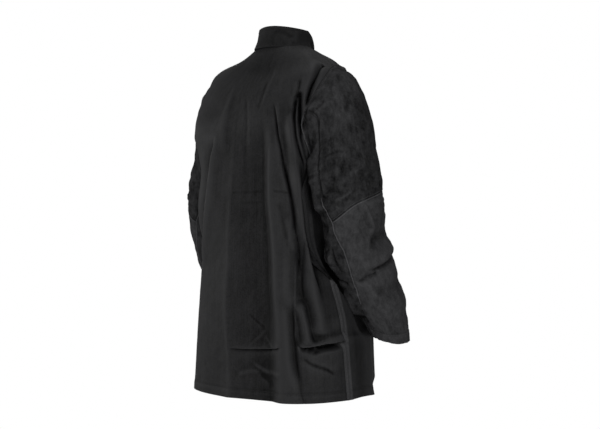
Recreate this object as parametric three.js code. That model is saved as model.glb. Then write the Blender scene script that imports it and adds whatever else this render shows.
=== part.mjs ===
import * as THREE from 'three';

// Welding jacket with a cloth body and suede sleeves, about 82 cm from collar top to hem.
// Millimetres, +Z up, the front towards -Y and the wearer's right towards -X.
// The origin is the middle of the neck opening, where the jacket sits on its wearer.

// Walls, and the clear space between neighbouring pieces
const CLOTH_WALL = 1.6;
const SUEDE_WALL = 2.0;
const STRIP_WALL = 1.2;
const LIFT = 1.0;
const SEAM_HALF_GAP = 0.3;
const SLEEVE_SEAM_DEG = 0.45;
const SLEEVE_SEAM_SHARE = 0.0006;
const COLLAR_LIFT = 0.6;

// Body sections, hem first: share of the way from hem to neck, height at the side, half width,
// depth behind and before the middle, squareness, rise at centre back and front, middle's Y
const BODY = table(
  ['share', 'side', 'width', 'back', 'front', 'square', 'backRise', 'frontRise', 'middle'],
  [
    [0.00, -774, 207, 143, 136, 3.5, -6, 6, 0],
    [0.24, -595, 198, 138, 132, 3.3, 0, 0, 0],
    [0.46, -430, 184, 132, 126, 3.0, 0, 0, 4],
    [0.66, -262, 160, 122, 118, 2.8, 0, 0, 10],
    [0.80, -150, 166, 110, 108, 2.6, -10, -14, 16],
    [0.89, -46, 174, 88, 86, 2.5, -48, -70, 20],
    [0.95, -19, 112, 68, 70, 2.2, -28, -62, 12],
    [1.00, 2, 66, 60, 62, 2.0, 0, -66, 0],
  ],
);
const RISE_POWER = 0.75;

// Sleeve sections, armhole first: share of the way to the cuff, the inner and the outer edge seen
// from behind, the middle's Y, half depth front to back and lean forward in degrees
const SLEEVE_ROWS = [
  [0.00, 140, -256, 172, -48, 20, 70, 0],
  [0.10, 138, -272, 224, -92, 23, 67, 0],
  [0.20, 135, -288, 246, -176, 21, 70, 0],
  [0.34, 134, -324, 257, -282, 12, 76, 3],
  [0.50, 143, -384, 265, -362, 7, 78, 14],
  [0.66, 147, -456, 264, -448, -14, 76, 22],
  [0.84, 160, -552, 267, -560, -62, 60, 18],
  [1.00, 181, -632, 264, -660, -100, 42, 6],
];
const SLEEVE = table(
  ['share', 'innerX', 'innerZ', 'outerX', 'outerZ', 'middle', 'depth', 'forward'],
  SLEEVE_ROWS,
);
const SLEEVE_FULLNESS = 0.9;
const SLEEVE_HEAD = 0.2;

// Armhole: between two shares of the body, opened by angles to the back and the front
const ARMPIT_SHARE = 0.665;
const SHOULDER_SHARE = 0.89;
const ARMPIT_DEG = 72;
const SHOULDER_DEG = 90;
const ARMHOLE_BACK_DEG = 22;
const ARMHOLE_FRONT_DEG = 25;
const ARMHOLE_POWER = 0.75;
const HEM_SIDE_DEG = 83.5;
const FRONT_DEG = 180;
const RING_SHRINK = 0.985;

// Where the sleeve hangs, the body is pressed in behind it
const ARM_ROOM = 9;
const ARM_SPREAD = 24;
const PRESS_SOFTNESS = 12;
const PRESS_TOP = [-130, -215];
const PRESS_BOTTOM = [-680, -630];
const UNPRESSED = 400;

// Folds of the body: the line's lower and upper end as angle and share, its bow, how far the cloth
// stands out (in, if below zero) and half its width in degrees
const BODY_FOLDS = rows(
  ['lowDeg', 'lowShare', 'highDeg', 'highShare', 'bow', 'depth', 'halfDeg'],
  [
    [-60, -0.10, -40, 0.82, -4, -10, 8],
    [-68, 0.06, -52, 0.62, 0, 5, 7],
    [-76, 0.12, -62, 0.60, 0, -6, 7],
    [-62, 0.62, -58, 0.85, 6, -7, 7],
    [17, -0.10, 17, 0.78, 0, 3, 16],
    [66, 0.05, 54, 0.66, 0, -5, 12],
  ],
);

// Folds across the sleeve: share, how far out, half length as a share
const SLEEVE_FOLDS = rows(
  ['share', 'depth', 'half'],
  [
    [0.46, 4, 0.035],
    [0.59, -6, 0.040],
    [0.705, -6, 0.035],
    [0.86, 3, 0.050],
  ],
);

// Sleeve seams: the back one's angle by share, the front one's angle, and the elbow seam's share
// at the outer edge with its drop for each degree towards the back
const BACK_SEAM = table(
  ['share', 'deg'],
  [
    [0.00, 100],
    [0.20, 110],
    [0.38, 108],
    [0.50, 90],
    [0.62, 77],
    [0.75, 78],
    [1.00, 86],
  ],
);
const FRONT_SEAM_DEG = 260;
const ELBOW_SHARE = 0.456;
const ELBOW_DROP = 0.0005;

// Collar: height at the nape and under the chin, forward lean, narrowing and the gap in front
const COLLAR_NAPE = 44;
const COLLAR_CHIN = 30;
const COLLAR_LEAN = 0.16;
const COLLAR_NARROWING = 0.05;
const COLLAR_FRONT_DEG = 178.5;

// Front flap with its snaps, and the felled strips on the side seams
const FLAP_HALF = 28;
const FLAP_SHARES = [0.006, 0.975];
const SNAP_SHARES = [0.10, 0.29, 0.48, 0.67, 0.86];
const SNAP_RADIUS = 7.5;
const SNAP_HEIGHT = 2.6;
const SNAP_FLAT = 0.72;
const SNAP_GAP = 1.0;
const SNAP_SIDES = 18;
const STRIP_HALF = 5;

// How many facets each piece has
const ROWS_TO_ARMPIT = 11;
const RING_STEP_DEG = 20;
const ROWS_ON_SHOULDER = 4;
const BACK_COLUMNS = 28;
const BACK_CROWDING = 1.35;
const FRONT_CROWDING = 1;
const FRONT_COLUMNS = 10;
const COLLAR_COLUMNS = 30;
const COLLAR_ROWS = 3;
const TOP_ROWS = 9;
const FOREARM_ROWS = 12;
const UNDER_ROWS = 16;
const FLAP_ROWS = 22;
const FLAP_COLUMNS = 4;
const PROBE_DEG = 0.5;
const PROBE_SHARE = 0.004;

// Finishes
const CLOTH = new THREE.MeshStandardMaterial({ color: 0x2f3033, roughness: 0.85, metalness: 0 });
const SUEDE = new THREE.MeshStandardMaterial({ color: 0x35363a, roughness: 0.95, metalness: 0 });
const STEEL = new THREE.MeshStandardMaterial({ color: 0x4a4b4f, roughness: 0.4, metalness: 1 });

/** Turns rows of numbers into objects with named columns. */
function rows(columns, values) {
  return values.map((row) => Object.fromEntries(columns.map((name, k) => [name, row[k]])));
}

/** Reads each column anywhere between the rows, along curves that run smoothly through them. */
function table(columns, values) {
  const places = values.map((row) => row[0]);
  return Object.fromEntries(
    columns.map((name, k) => [name, smoothCurve(places, values.map((row) => row[k]))]),
  );
}

/** A cubic through all points, whose slope at each is the mean of its neighbours' by distance. */
function smoothCurve(xs, ys) {
  const last = xs.length - 1;
  const spans = xs.slice(1).map((x, k) => x - xs[k]);
  const rises = spans.map((span, k) => (ys[k + 1] - ys[k]) / span);
  const slopes = xs.map((_, k) => {
    if (k === 0) return rises[0];
    if (k === last) return rises[last - 1];
    return (rises[k - 1] * spans[k] + rises[k] * spans[k - 1]) / (spans[k - 1] + spans[k]);
  });
  return (x) => {
    let k = 0;
    while (k < last - 1 && x > xs[k + 1]) k += 1;
    const s = THREE.MathUtils.clamp((x - xs[k]) / spans[k], 0, 1);
    const r = 1 - s;
    const ends = (1 + 2 * s) * r * r * ys[k] + s * s * (3 - 2 * s) * ys[k + 1];
    return ends + s * r * spans[k] * (r * slopes[k] - s * slopes[k + 1]);
  };
}

/** 1 at the middle of a fold, easing to 0 at its edge. */
function swell(x) {
  const inside = Math.max(0, 1 - x * x);
  return inside * inside;
}

/** A number's power with its sign kept. */
function signedPower(x, power) {
  return Math.sign(x) * Math.abs(x) ** power;
}

/** Evenly spaced numbers from the first to the last. */
function spread(first, last, steps) {
  return Array.from({ length: steps + 1 }, (_, k) => first + ((last - first) * k) / steps);
}

/** Middle, half reach and depth of the sleeve's section at a share of its length. */
function sleeveSection(share) {
  const innerX = SLEEVE.innerX(share);
  const innerZ = SLEEVE.innerZ(share);
  const reach = new THREE.Vector3(SLEEVE.outerX(share) - innerX, 0, SLEEVE.outerZ(share) - innerZ);
  reach.multiplyScalar(0.5);
  const middle = new THREE.Vector3(innerX + reach.x, SLEEVE.middle(share), innerZ + reach.z);
  return { middle, reach, depth: SLEEVE.depth(share) };
}

/** The sleeve's share whose middle lies at a height. */
function sleeveShareAt(height) {
  const middles = SLEEVE_ROWS.map((row) => (row[2] + row[4]) / 2);
  for (let k = 1; k < middles.length; k += 1) {
    if (height >= middles[k]) {
      const part = THREE.MathUtils.clamp((height - middles[k - 1]) / (middles[k] - middles[k - 1]), 0, 1);
      return THREE.MathUtils.lerp(SLEEVE_ROWS[k - 1][0], SLEEVE_ROWS[k][0], part);
    }
  }
  return 1;
}

/** How far out the body may reach beside the hanging sleeve. */
function pressedWidth(x, y, z) {
  const { middle, reach, depth } = sleeveSection(sleeveShareAt(z));
  const across = (y - middle.y) / (depth + ARM_SPREAD);
  const hollow = (reach.x + ARM_ROOM) * Math.sqrt(Math.max(0, 1 - across * across));
  const weight = 1 - THREE.MathUtils.smoothstep(z, PRESS_TOP[1], PRESS_TOP[0]);
  const hold = weight * THREE.MathUtils.smoothstep(z, PRESS_BOTTOM[0], PRESS_BOTTOM[1]);
  const limit = THREE.MathUtils.lerp(UNPRESSED, middle.x - hollow, hold);
  const low = Math.min(x, limit);
  const over = Math.exp((low - x) / PRESS_SOFTNESS) + Math.exp((low - limit) / PRESS_SOFTNESS);
  return low - PRESS_SOFTNESS * Math.log(over);
}

/** How far the folds move the body's cloth out. */
function bodyFold(deg, share) {
  return BODY_FOLDS.reduce((sum, fold) => {
    const along = (share - fold.lowShare) / (fold.highShare - fold.lowShare);
    if (along <= 0 || along >= 1) return sum;
    const line = THREE.MathUtils.lerp(fold.lowDeg, fold.highDeg, along) + 4 * fold.bow * along * (1 - along);
    const fade = Math.sqrt(Math.sin(Math.PI * along));
    return sum + fold.depth * fade * swell((deg - line) / fold.halfDeg);
  }, 0);
}

/** A point of the body's outer face: degrees round from centre back to +X, and share from the hem. */
function bodyPoint(deg, share) {
  const angle = THREE.MathUtils.degToRad(deg);
  const sine = Math.sin(angle);
  const cosine = Math.cos(angle);
  const square = BODY.square(share);
  const depth = cosine > 0 ? BODY.back(share) : BODY.front(share);
  const rim = Math.abs(sine / BODY.width(share)) ** square + Math.abs(cosine / depth) ** square;
  const plain = rim ** (-1 / square);
  const radius = plain + bodyFold(deg, share);
  const x = radius * sine;
  const y = BODY.middle(share) + radius * cosine;
  const rise = cosine > 0 ? BODY.backRise(share) : BODY.frontRise(share);
  const z = BODY.side(share) + rise * Math.abs((plain * cosine) / depth) ** (RISE_POWER * square);
  return new THREE.Vector3(Math.sign(x) * pressedWidth(Math.abs(x), y, z), y, z);
}

/** The direction that faces out of a surface at a place on it. */
function facing(surface, u, v, du, dv) {
  const across = surface(u + du, v).sub(surface(u - du, v));
  const along = surface(u, v + dv).sub(surface(u, v - dv));
  return along.cross(across).normalize();
}

/** The body's outward direction. */
function bodyFacing(deg, share) {
  const inside = THREE.MathUtils.clamp(share, PROBE_SHARE, 1 - PROBE_SHARE);
  return facing(bodyPoint, deg, inside, PROBE_DEG, PROBE_SHARE);
}

/** Angles of the armhole's back and front edge, or of the one seam below and above it. */
function armholeEdges(share) {
  if (share <= ARMPIT_SHARE) {
    const seam = THREE.MathUtils.lerp(HEM_SIDE_DEG, ARMPIT_DEG, share / ARMPIT_SHARE);
    return [seam, seam];
  }
  const part = THREE.MathUtils.clamp((share - ARMPIT_SHARE) / (SHOULDER_SHARE - ARMPIT_SHARE), 0, 1);
  const middle = THREE.MathUtils.lerp(ARMPIT_DEG, SHOULDER_DEG, part);
  const open = Math.max(0, Math.sin(Math.PI * part)) ** ARMHOLE_POWER;
  return [middle - ARMHOLE_BACK_DEG * open, middle + ARMHOLE_FRONT_DEG * open];
}

/** The body's share at an angle round the armhole, 0 at the shoulder and 180 in the armpit. */
function ringShare(deg) {
  const part = 0.5 + 0.5 * Math.cos(THREE.MathUtils.degToRad(deg));
  return THREE.MathUtils.lerp(ARMPIT_SHARE, SHOULDER_SHARE, part);
}

/** Where the sleeve starts: the armhole, drawn in a little and lifted off the body. */
function ringPoint(deg) {
  const share = ringShare(deg);
  const edges = armholeEdges(share);
  const edge = edges[deg % 360 <= 180 ? 0 : 1];
  const middleDeg = (edges[0] + edges[1]) / 2;
  const middleShare = (ARMPIT_SHARE + SHOULDER_SHARE) / 2;
  const ringDeg = THREE.MathUtils.lerp(middleDeg, edge, RING_SHRINK);
  const inShare = THREE.MathUtils.lerp(middleShare, share, RING_SHRINK);
  return bodyPoint(ringDeg, inShare).addScaledVector(bodyFacing(ringDeg, inShare), LIFT);
}

/** How far the folds move the sleeve's wall out. */
function sleeveFold(share) {
  return SLEEVE_FOLDS.reduce((sum, fold) => sum + fold.depth * swell((share - fold.share) / fold.half), 0);
}

/** A point of the left sleeve's outer face: degrees from its outer edge by the back, and share. */
function sleevePoint(deg, share) {
  const angle = THREE.MathUtils.degToRad(deg);
  const { middle, reach, depth } = sleeveSection(share);
  const forward = THREE.MathUtils.degToRad(SLEEVE.forward(share));
  const down = new THREE.Vector3(reach.z, 0, -reach.x).normalize();
  const back = new THREE.Vector3(0, Math.cos(forward), 0).addScaledVector(down, Math.sin(forward));
  const swellOut = 1 + sleeveFold(share) / depth;
  const tube = middle.clone();
  tube.addScaledVector(reach, swellOut * signedPower(Math.cos(angle), SLEEVE_FULLNESS));
  tube.addScaledVector(back, swellOut * depth * signedPower(Math.sin(angle), SLEEVE_FULLNESS));
  const rest = 1 - Math.min(1, share / SLEEVE_HEAD);
  return tube.lerp(ringPoint((deg + 360) % 360), rest * rest);
}

/** The left sleeve's outward direction. */
function sleeveFacing(deg, share) {
  const inside = THREE.MathUtils.clamp(share, PROBE_SHARE, 1 - PROBE_SHARE);
  return facing(sleevePoint, deg, inside, RING_STEP_DEG / 2, PROBE_SHARE);
}

/** A closed wall: faces on a grid of places, and the same grid one thickness behind them. */
function wall(place, columns, rowCount, thickness, mirrored) {
  const stride = rowCount + 1;
  const count = (columns + 1) * stride;
  const points = new Float32Array(6 * count);
  for (let i = 0; i <= columns; i += 1) {
    for (let j = 0; j <= rowCount; j += 1) {
      const { point, out } = place(i, j);
      const behind = point.clone().addScaledVector(out, -thickness);
      if (mirrored) {
        point.x = -point.x;
        behind.x = -behind.x;
      }
      point.toArray(points, 3 * (i * stride + j));
      behind.toArray(points, 3 * (count + i * stride + j));
    }
  }
  const faces = [];
  const addQuad = (a, b, c, d) => {
    faces.push(...(mirrored ? [a, c, b, a, d, c] : [a, b, c, a, c, d]));
  };
  for (let i = 0; i < columns; i += 1) {
    for (let j = 0; j < rowCount; j += 1) {
      const a = i * stride + j;
      const b = a + stride;
      addQuad(a, a + 1, b + 1, b);
      addQuad(count + a, count + b, count + b + 1, count + a + 1);
    }
    const low = i * stride;
    const high = low + rowCount;
    addQuad(low + stride, count + low + stride, count + low, low);
    addQuad(high, count + high, count + high + stride, high + stride);
  }
  for (let j = 0; j < rowCount; j += 1) {
    const end = columns * stride + j;
    addQuad(j, count + j, count + j + 1, j + 1);
    addQuad(end + 1, count + end + 1, count + end, end);
  }
  const geometry = new THREE.BufferGeometry();
  geometry.setAttribute('position', new THREE.BufferAttribute(points, 3));
  geometry.setIndex(faces);
  geometry.computeVertexNormals();
  return geometry;
}

/** A named piece of the jacket. */
function piece(name, geometry, material) {
  const mesh = new THREE.Mesh(geometry, material);
  mesh.name = name;
  return mesh;
}

/** A body panel between two seams: a narrow facet along each for a strip, the rest crowding to one. */
function bodyPanel(columns, shares, edges, crowding) {
  const place = (i, j) => {
    const share = shares[j];
    const [first, last] = edges(share);
    const inner = [
      first + degreesFor(STRIP_HALF, first, share),
      last - degreesFor(STRIP_HALF, last, share),
    ];
    const between = THREE.MathUtils.lerp(...inner, ((i - 1) / (columns - 2)) ** crowding);
    const deg = i === 0 ? first : between;
    const placed = i === columns ? last : deg;
    return { point: bodyPoint(placed, share), out: bodyFacing(placed, share) };
  };
  return wall(place, columns, shares.length - 1, CLOTH_WALL, false);
}

/** A strip that lies on the body's cloth. */
function bodyStrip(columns, shares, degreesAt) {
  const place = (i, j) => {
    const deg = degreesAt(i / columns, shares[j]);
    const out = bodyFacing(deg, shares[j]);
    return { point: bodyPoint(deg, shares[j]).addScaledVector(out, LIFT + STRIP_WALL), out };
  };
  return wall(place, columns, shares.length - 1, STRIP_WALL, false);
}

/** A sleeve panel over some of the ring's columns, between two shares that may change with them. */
function sleevePanel(firstColumn, lastColumn, degreesAt, rowCount, sharesAt, mirrored) {
  const columns = lastColumn - firstColumn;
  const place = (i, j) => {
    const [from, to] = sharesAt((firstColumn + i) * RING_STEP_DEG);
    const share = THREE.MathUtils.lerp(from, to, j / rowCount);
    const deg = degreesAt(i / columns, share);
    return { point: sleevePoint(deg, share), out: sleeveFacing(deg, share) };
  };
  return wall(place, columns, rowCount, SUEDE_WALL, mirrored);
}

/** Shares of the body's rows: evenly to the armpit, by the armhole's ring, evenly over the shoulder. */
function bodyShares() {
  const ring = spread(180, 0, 180 / RING_STEP_DEG).map(ringShare);
  const below = spread(0, ARMPIT_SHARE, ROWS_TO_ARMPIT);
  const above = spread(SHOULDER_SHARE, 1, ROWS_ON_SHOULDER);
  return [...below, ...ring.slice(1), ...above.slice(1)];
}

/** Degrees of the body that span a length round it at a place. */
function degreesFor(length, deg, share) {
  const step = bodyPoint(deg + PROBE_DEG, share).distanceTo(bodyPoint(deg - PROBE_DEG, share));
  return (2 * PROBE_DEG * length) / step;
}

/** Back and two front panels. */
function buildPanels() {
  const shares = bodyShares();
  const back = bodyPanel(BACK_COLUMNS, shares, (share) => {
    const edge = armholeEdges(share)[0];
    const gap = degreesFor(SEAM_HALF_GAP, edge, share);
    return [gap - edge, edge - gap];
  }, BACK_CROWDING);
  const frontEdges = (share) => {
    const edge = armholeEdges(share)[1];
    const gap = degreesFor(SEAM_HALF_GAP, edge, share);
    return [edge + gap, FRONT_DEG - degreesFor(SEAM_HALF_GAP, FRONT_DEG, share)];
  };
  const frontLeft = bodyPanel(FRONT_COLUMNS, shares, frontEdges, FRONT_CROWDING);
  const frontRight = bodyPanel(FRONT_COLUMNS, shares, (share) => {
    return frontEdges(share).map((deg) => -deg).reverse();
  }, FRONT_CROWDING);
  return [
    piece('back_panel', back, CLOTH),
    piece('front_left', frontLeft, CLOTH),
    piece('front_right', frontRight, CLOTH),
  ];
}

/** A point of the collar's outer face at a share of its height. */
function collarPoint(deg, share) {
  const nape = 0.5 + 0.5 * Math.cos(THREE.MathUtils.degToRad(deg));
  const height = share * THREE.MathUtils.lerp(COLLAR_CHIN, COLLAR_NAPE, nape * nape);
  const point = bodyPoint(deg, 1);
  point.x *= 1 - COLLAR_NARROWING * share;
  return point.add(new THREE.Vector3(0, -COLLAR_LEAN * height, COLLAR_LIFT + height));
}

/** The stand-up collar, open in front. */
function buildCollar() {
  const place = (i, j) => {
    const deg = THREE.MathUtils.lerp(-COLLAR_FRONT_DEG, COLLAR_FRONT_DEG, i / COLLAR_COLUMNS);
    const share = j / COLLAR_ROWS;
    return { point: collarPoint(deg, share), out: facing(collarPoint, deg, share, PROBE_DEG, PROBE_SHARE) };
  };
  return piece('collar', wall(place, COLLAR_COLUMNS, COLLAR_ROWS, CLOTH_WALL, false), CLOTH);
}

/** Angle of a place beside centre front, given its X. */
function frontDegrees(x, share) {
  return FRONT_DEG - THREE.MathUtils.radToDeg(Math.atan2(x, BODY.front(share)));
}

/** The flap over the front opening, and the snaps on it. */
function buildFront() {
  const shares = spread(...FLAP_SHARES, FLAP_ROWS);
  const across = (part, share) => frontDegrees(FLAP_HALF * (1 - 2 * part), share);
  const flap = piece('front_flap', bodyStrip(FLAP_COLUMNS, shares, across), CLOTH);
  const profile = [
    [0, 0],
    [SNAP_RADIUS, 0],
    [SNAP_RADIUS, SNAP_HEIGHT / 2],
    [SNAP_RADIUS * SNAP_FLAT, SNAP_HEIGHT],
    [0, SNAP_HEIGHT],
  ].map(([r, h]) => new THREE.Vector2(r, h));
  const snaps = SNAP_SHARES.map((share, k) => {
    const snap = piece(`snap_${k + 1}`, new THREE.LatheGeometry(profile, SNAP_SIDES), STEEL);
    const out = bodyFacing(FRONT_DEG, share);
    out.x = 0;
    out.normalize();
    snap.quaternion.setFromUnitVectors(new THREE.Vector3(0, 1, 0), out);
    snap.position.copy(bodyPoint(FRONT_DEG, share));
    snap.position.addScaledVector(out, LIFT + STRIP_WALL + SNAP_GAP);
    return snap;
  });
  return [flap, ...snaps];
}

/** The felled strips over the two side seams. */
function buildStrips() {
  const shares = spread(0, ARMPIT_SHARE, ROWS_TO_ARMPIT).slice(0, -1);
  return [['side_strip_left', 1], ['side_strip_right', -1]].map(([name, side]) => {
    const degreesAt = (part, share) => {
      const seam = side * armholeEdges(share)[0];
      return seam + (2 * part - 1) * degreesFor(STRIP_HALF, seam, share);
    };
    return piece(name, bodyStrip(2, shares, degreesAt), CLOTH);
  });
}

/** One sleeve: upper outer panel, forearm below the elbow seam, and the under panel along both. */
function buildSleeve(suffix, mirrored) {
  const ringColumns = 360 / RING_STEP_DEG;
  const backColumn = BACK_SEAM.deg(0) / RING_STEP_DEG;
  const frontColumn = FRONT_SEAM_DEG / RING_STEP_DEG;
  const outer = (part, share) => {
    const from = FRONT_SEAM_DEG - 360 + SLEEVE_SEAM_DEG;
    return THREE.MathUtils.lerp(from, BACK_SEAM.deg(share) - SLEEVE_SEAM_DEG, part);
  };
  const under = (part, share) => {
    return THREE.MathUtils.lerp(BACK_SEAM.deg(share) + SLEEVE_SEAM_DEG, FRONT_SEAM_DEG - SLEEVE_SEAM_DEG, part);
  };
  const elbow = (deg) => ELBOW_SHARE + ELBOW_DROP * deg;
  const topShares = (deg) => [0, elbow(deg) - SLEEVE_SEAM_SHARE];
  const forearmShares = (deg) => [elbow(deg) + SLEEVE_SEAM_SHARE, 1];
  const first = frontColumn - ringColumns;
  return [
    piece(`sleeve_top_${suffix}`,
      sleevePanel(first, backColumn, outer, TOP_ROWS, topShares, mirrored), SUEDE),
    piece(`forearm_${suffix}`,
      sleevePanel(first, backColumn, outer, FOREARM_ROWS, forearmShares, mirrored), SUEDE),
    piece(`sleeve_under_${suffix}`,
      sleevePanel(backColumn, frontColumn, under, UNDER_ROWS, () => [0, 1], mirrored), SUEDE),
  ];
}

const jacket = new THREE.Group();
jacket.name = 'welding_jacket';
jacket.add(...buildPanels(), buildCollar(), ...buildFront(), ...buildStrips());
jacket.add(...buildSleeve('left', false), ...buildSleeve('right', true));

export default jacket;
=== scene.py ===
"""Looks of a leather-sleeved welding jacket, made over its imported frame.

Each panel is a thin closed wall whose outer face is a function of two parameters, worked out
with numpy. Tables and sizes are in millimetres and degrees; meshes are in metres.
"""
import logging
from collections.abc import Iterable
from dataclasses import dataclass, field
from enum import Enum

import bpy
import numpy as np
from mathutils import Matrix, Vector


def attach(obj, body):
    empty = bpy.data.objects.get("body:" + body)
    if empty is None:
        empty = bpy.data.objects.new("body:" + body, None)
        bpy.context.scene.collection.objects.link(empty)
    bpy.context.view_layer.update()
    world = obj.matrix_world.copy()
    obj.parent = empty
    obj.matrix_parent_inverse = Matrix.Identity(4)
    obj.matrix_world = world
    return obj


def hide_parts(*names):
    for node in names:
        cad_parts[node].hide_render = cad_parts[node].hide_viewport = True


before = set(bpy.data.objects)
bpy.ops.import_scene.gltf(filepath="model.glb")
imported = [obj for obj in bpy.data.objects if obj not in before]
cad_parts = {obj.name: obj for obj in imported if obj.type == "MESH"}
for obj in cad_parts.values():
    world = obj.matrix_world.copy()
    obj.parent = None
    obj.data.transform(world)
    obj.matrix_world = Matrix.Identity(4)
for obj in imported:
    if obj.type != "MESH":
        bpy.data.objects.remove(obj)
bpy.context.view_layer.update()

Array = np.ndarray
Arrays = tuple[Array, Array]
Pair = tuple[float, float]
Bounds = tuple[Pair, Pair]
Peaks = tuple[tuple[float, float, float], ...]
Piece = bpy.types.Object
Material = bpy.types.Material
Tree = bpy.types.NodeTree
Node = bpy.types.Node
Socket = bpy.types.NodeSocket
LOG = logging.getLogger("jacket")
MM = 0.001
ROOT = "root"
SHARP_DEG = 70.0
TINY = 1e-9
COOL_TONE = 1.04
FINE_STEPS = 4000


# ---------------------------------------------------------------- curves and noise


def read_curve(places: Array, values: Array, at: Array) -> Array:
    """Reads a smooth curve that runs through points.

    A cubic joins each two points. Its slope at a point is the mean of the slopes on both
    sides, each weighted by the other side's span.

    Args:
        places: Where the points stand, rising.
        values: The curve's value at each place.
        at: Where it is read; past the ends it stays level.

    Returns:
        The values at those places.
    """
    places, values = np.asarray(places, float), np.asarray(values, float)
    spans = np.diff(places)
    rises = np.diff(values) / spans
    slopes = np.concatenate([rises[:1], rises])
    slopes[1:-1] = (rises[:-1] * spans[1:] + rises[1:] * spans[:-1]) / (spans[1:] + spans[:-1])
    k = np.clip(np.searchsorted(places, at) - 1, 0, len(spans) - 1)
    s = np.clip((at - places[k]) / spans[k], 0, 1)
    r = 1 - s
    ends = (1 + 2 * s) * r * r * values[k] + s * s * (3 - 2 * s) * values[k + 1]
    return ends + s * r * spans[k] * (r * slopes[k] - s * slopes[k + 1])


def ease(first: float, last: float, at: Array) -> Array:
    """0 before first, 1 past last, and 3s2 - 2s3 between them."""
    s = np.clip((at - first) / (last - first), 0, 1)
    return s * s * (3 - 2 * s)


def window(bounds: Bounds, at: Array) -> Array:
    """1 inside two bounds, each given as where it is 0 and where it reaches 1."""
    return ease(*bounds[0], at) * ease(*bounds[1], at)


def bell(distance: Array, width: float) -> Array:
    """exp(-(distance / width)^2)."""
    return np.exp(-((distance / width) ** 2))


def mix(a: Array, b: Array, part: Array) -> Array:
    """The straight blend from a to b."""
    return a + (b - a) * part


def signed_power(x: Array, power: float) -> Array:
    """A number's power with its sign kept."""
    return np.sign(x) * np.abs(x) ** power


def arc_length(line: Array) -> Array:
    """Distance along a line to each of its points."""
    return np.concatenate([[0.0], np.cumsum(np.linalg.norm(np.diff(line, axis=0), axis=1))])


def circle(sides: int) -> Array:
    """Angles of a ring's corners."""
    return np.linspace(0, 2 * np.pi, sides, endpoint=False)


def unit(vectors: Array) -> Array:
    """Vectors of length one."""
    return vectors / np.maximum(np.linalg.norm(vectors, axis=-1, keepdims=True), TINY)


@dataclass(frozen=True)
class Columns:
    """A table whose columns are read as smooth curves along its first one."""

    names: tuple[str, ...]
    rows: tuple[tuple[float, ...], ...]

    def read(self, name: str, at: Array) -> Array:
        """The named column's value at places of the first column."""
        table = np.array(self.rows)
        return read_curve(table[:, 0], table[:, self.names.index(name)], at)


@dataclass(frozen=True)
class Ripple:
    """A layer of rolling noise: random heights on a lattice, with eased blends between them."""

    height: float
    across: float
    along: float
    seed: int
    slant: float = np.inf
    start: float = 0.0
    side = 64

    @staticmethod
    def blend(s: Array) -> Array:
        """6s5 - 15s4 + 10s3."""
        return s * s * s * (s * (6 * s - 15) + 10)

    def at(self, u: Array, v: Array, shift: Pair = (0.0, 0.0)) -> Array:
        """The layer's heights at places of the flat cloth.

        Args:
            u: Place across.
            v: Place along.
            shift: Lattice steps by which the layer is moved.

        Returns:
            Heights within the layer's own to both sides.
        """
        side = self.side
        lattice = np.random.default_rng(self.seed).uniform(-1, 1, (side, side))
        a = u / self.across + v / self.slant + self.start + shift[0]
        b = v / self.along + shift[1]
        i, j = np.floor(a).astype(int), np.floor(b).astype(int)
        a, b = self.blend(a - i), self.blend(b - j)
        i, j, right, above = i % side, j % side, (i + 1) % side, (j + 1) % side
        low = mix(lattice[i, j], lattice[right, j], a)
        high = mix(lattice[i, above], lattice[right, above], a)
        return self.height * mix(low, high, b)


@dataclass(frozen=True)
class TurnedEdge:
    """A hem or cuff turned under: a raised band along an edge and the groove of its stitches."""

    width: float
    rise: float
    groove: float
    spread: float
    slope = 1.5

    def at(self, inward: Array) -> Array:
        """Heights by the distance from the edge: the band's rise less a bell at its line."""
        band = ease(self.width + self.slope, self.width - self.slope, inward)
        return self.rise * band - self.groove * bell(inward - self.width, self.spread)


# ---------------------------------------------------------------- folds


class Roll(Enum):
    """How cloth or leather turns across a fold."""

    SOFT = "one round swelling or hollow"
    LAP = "one side rolls over the other"
    CRACK = "two rolls meet in a narrow gap"


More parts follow.
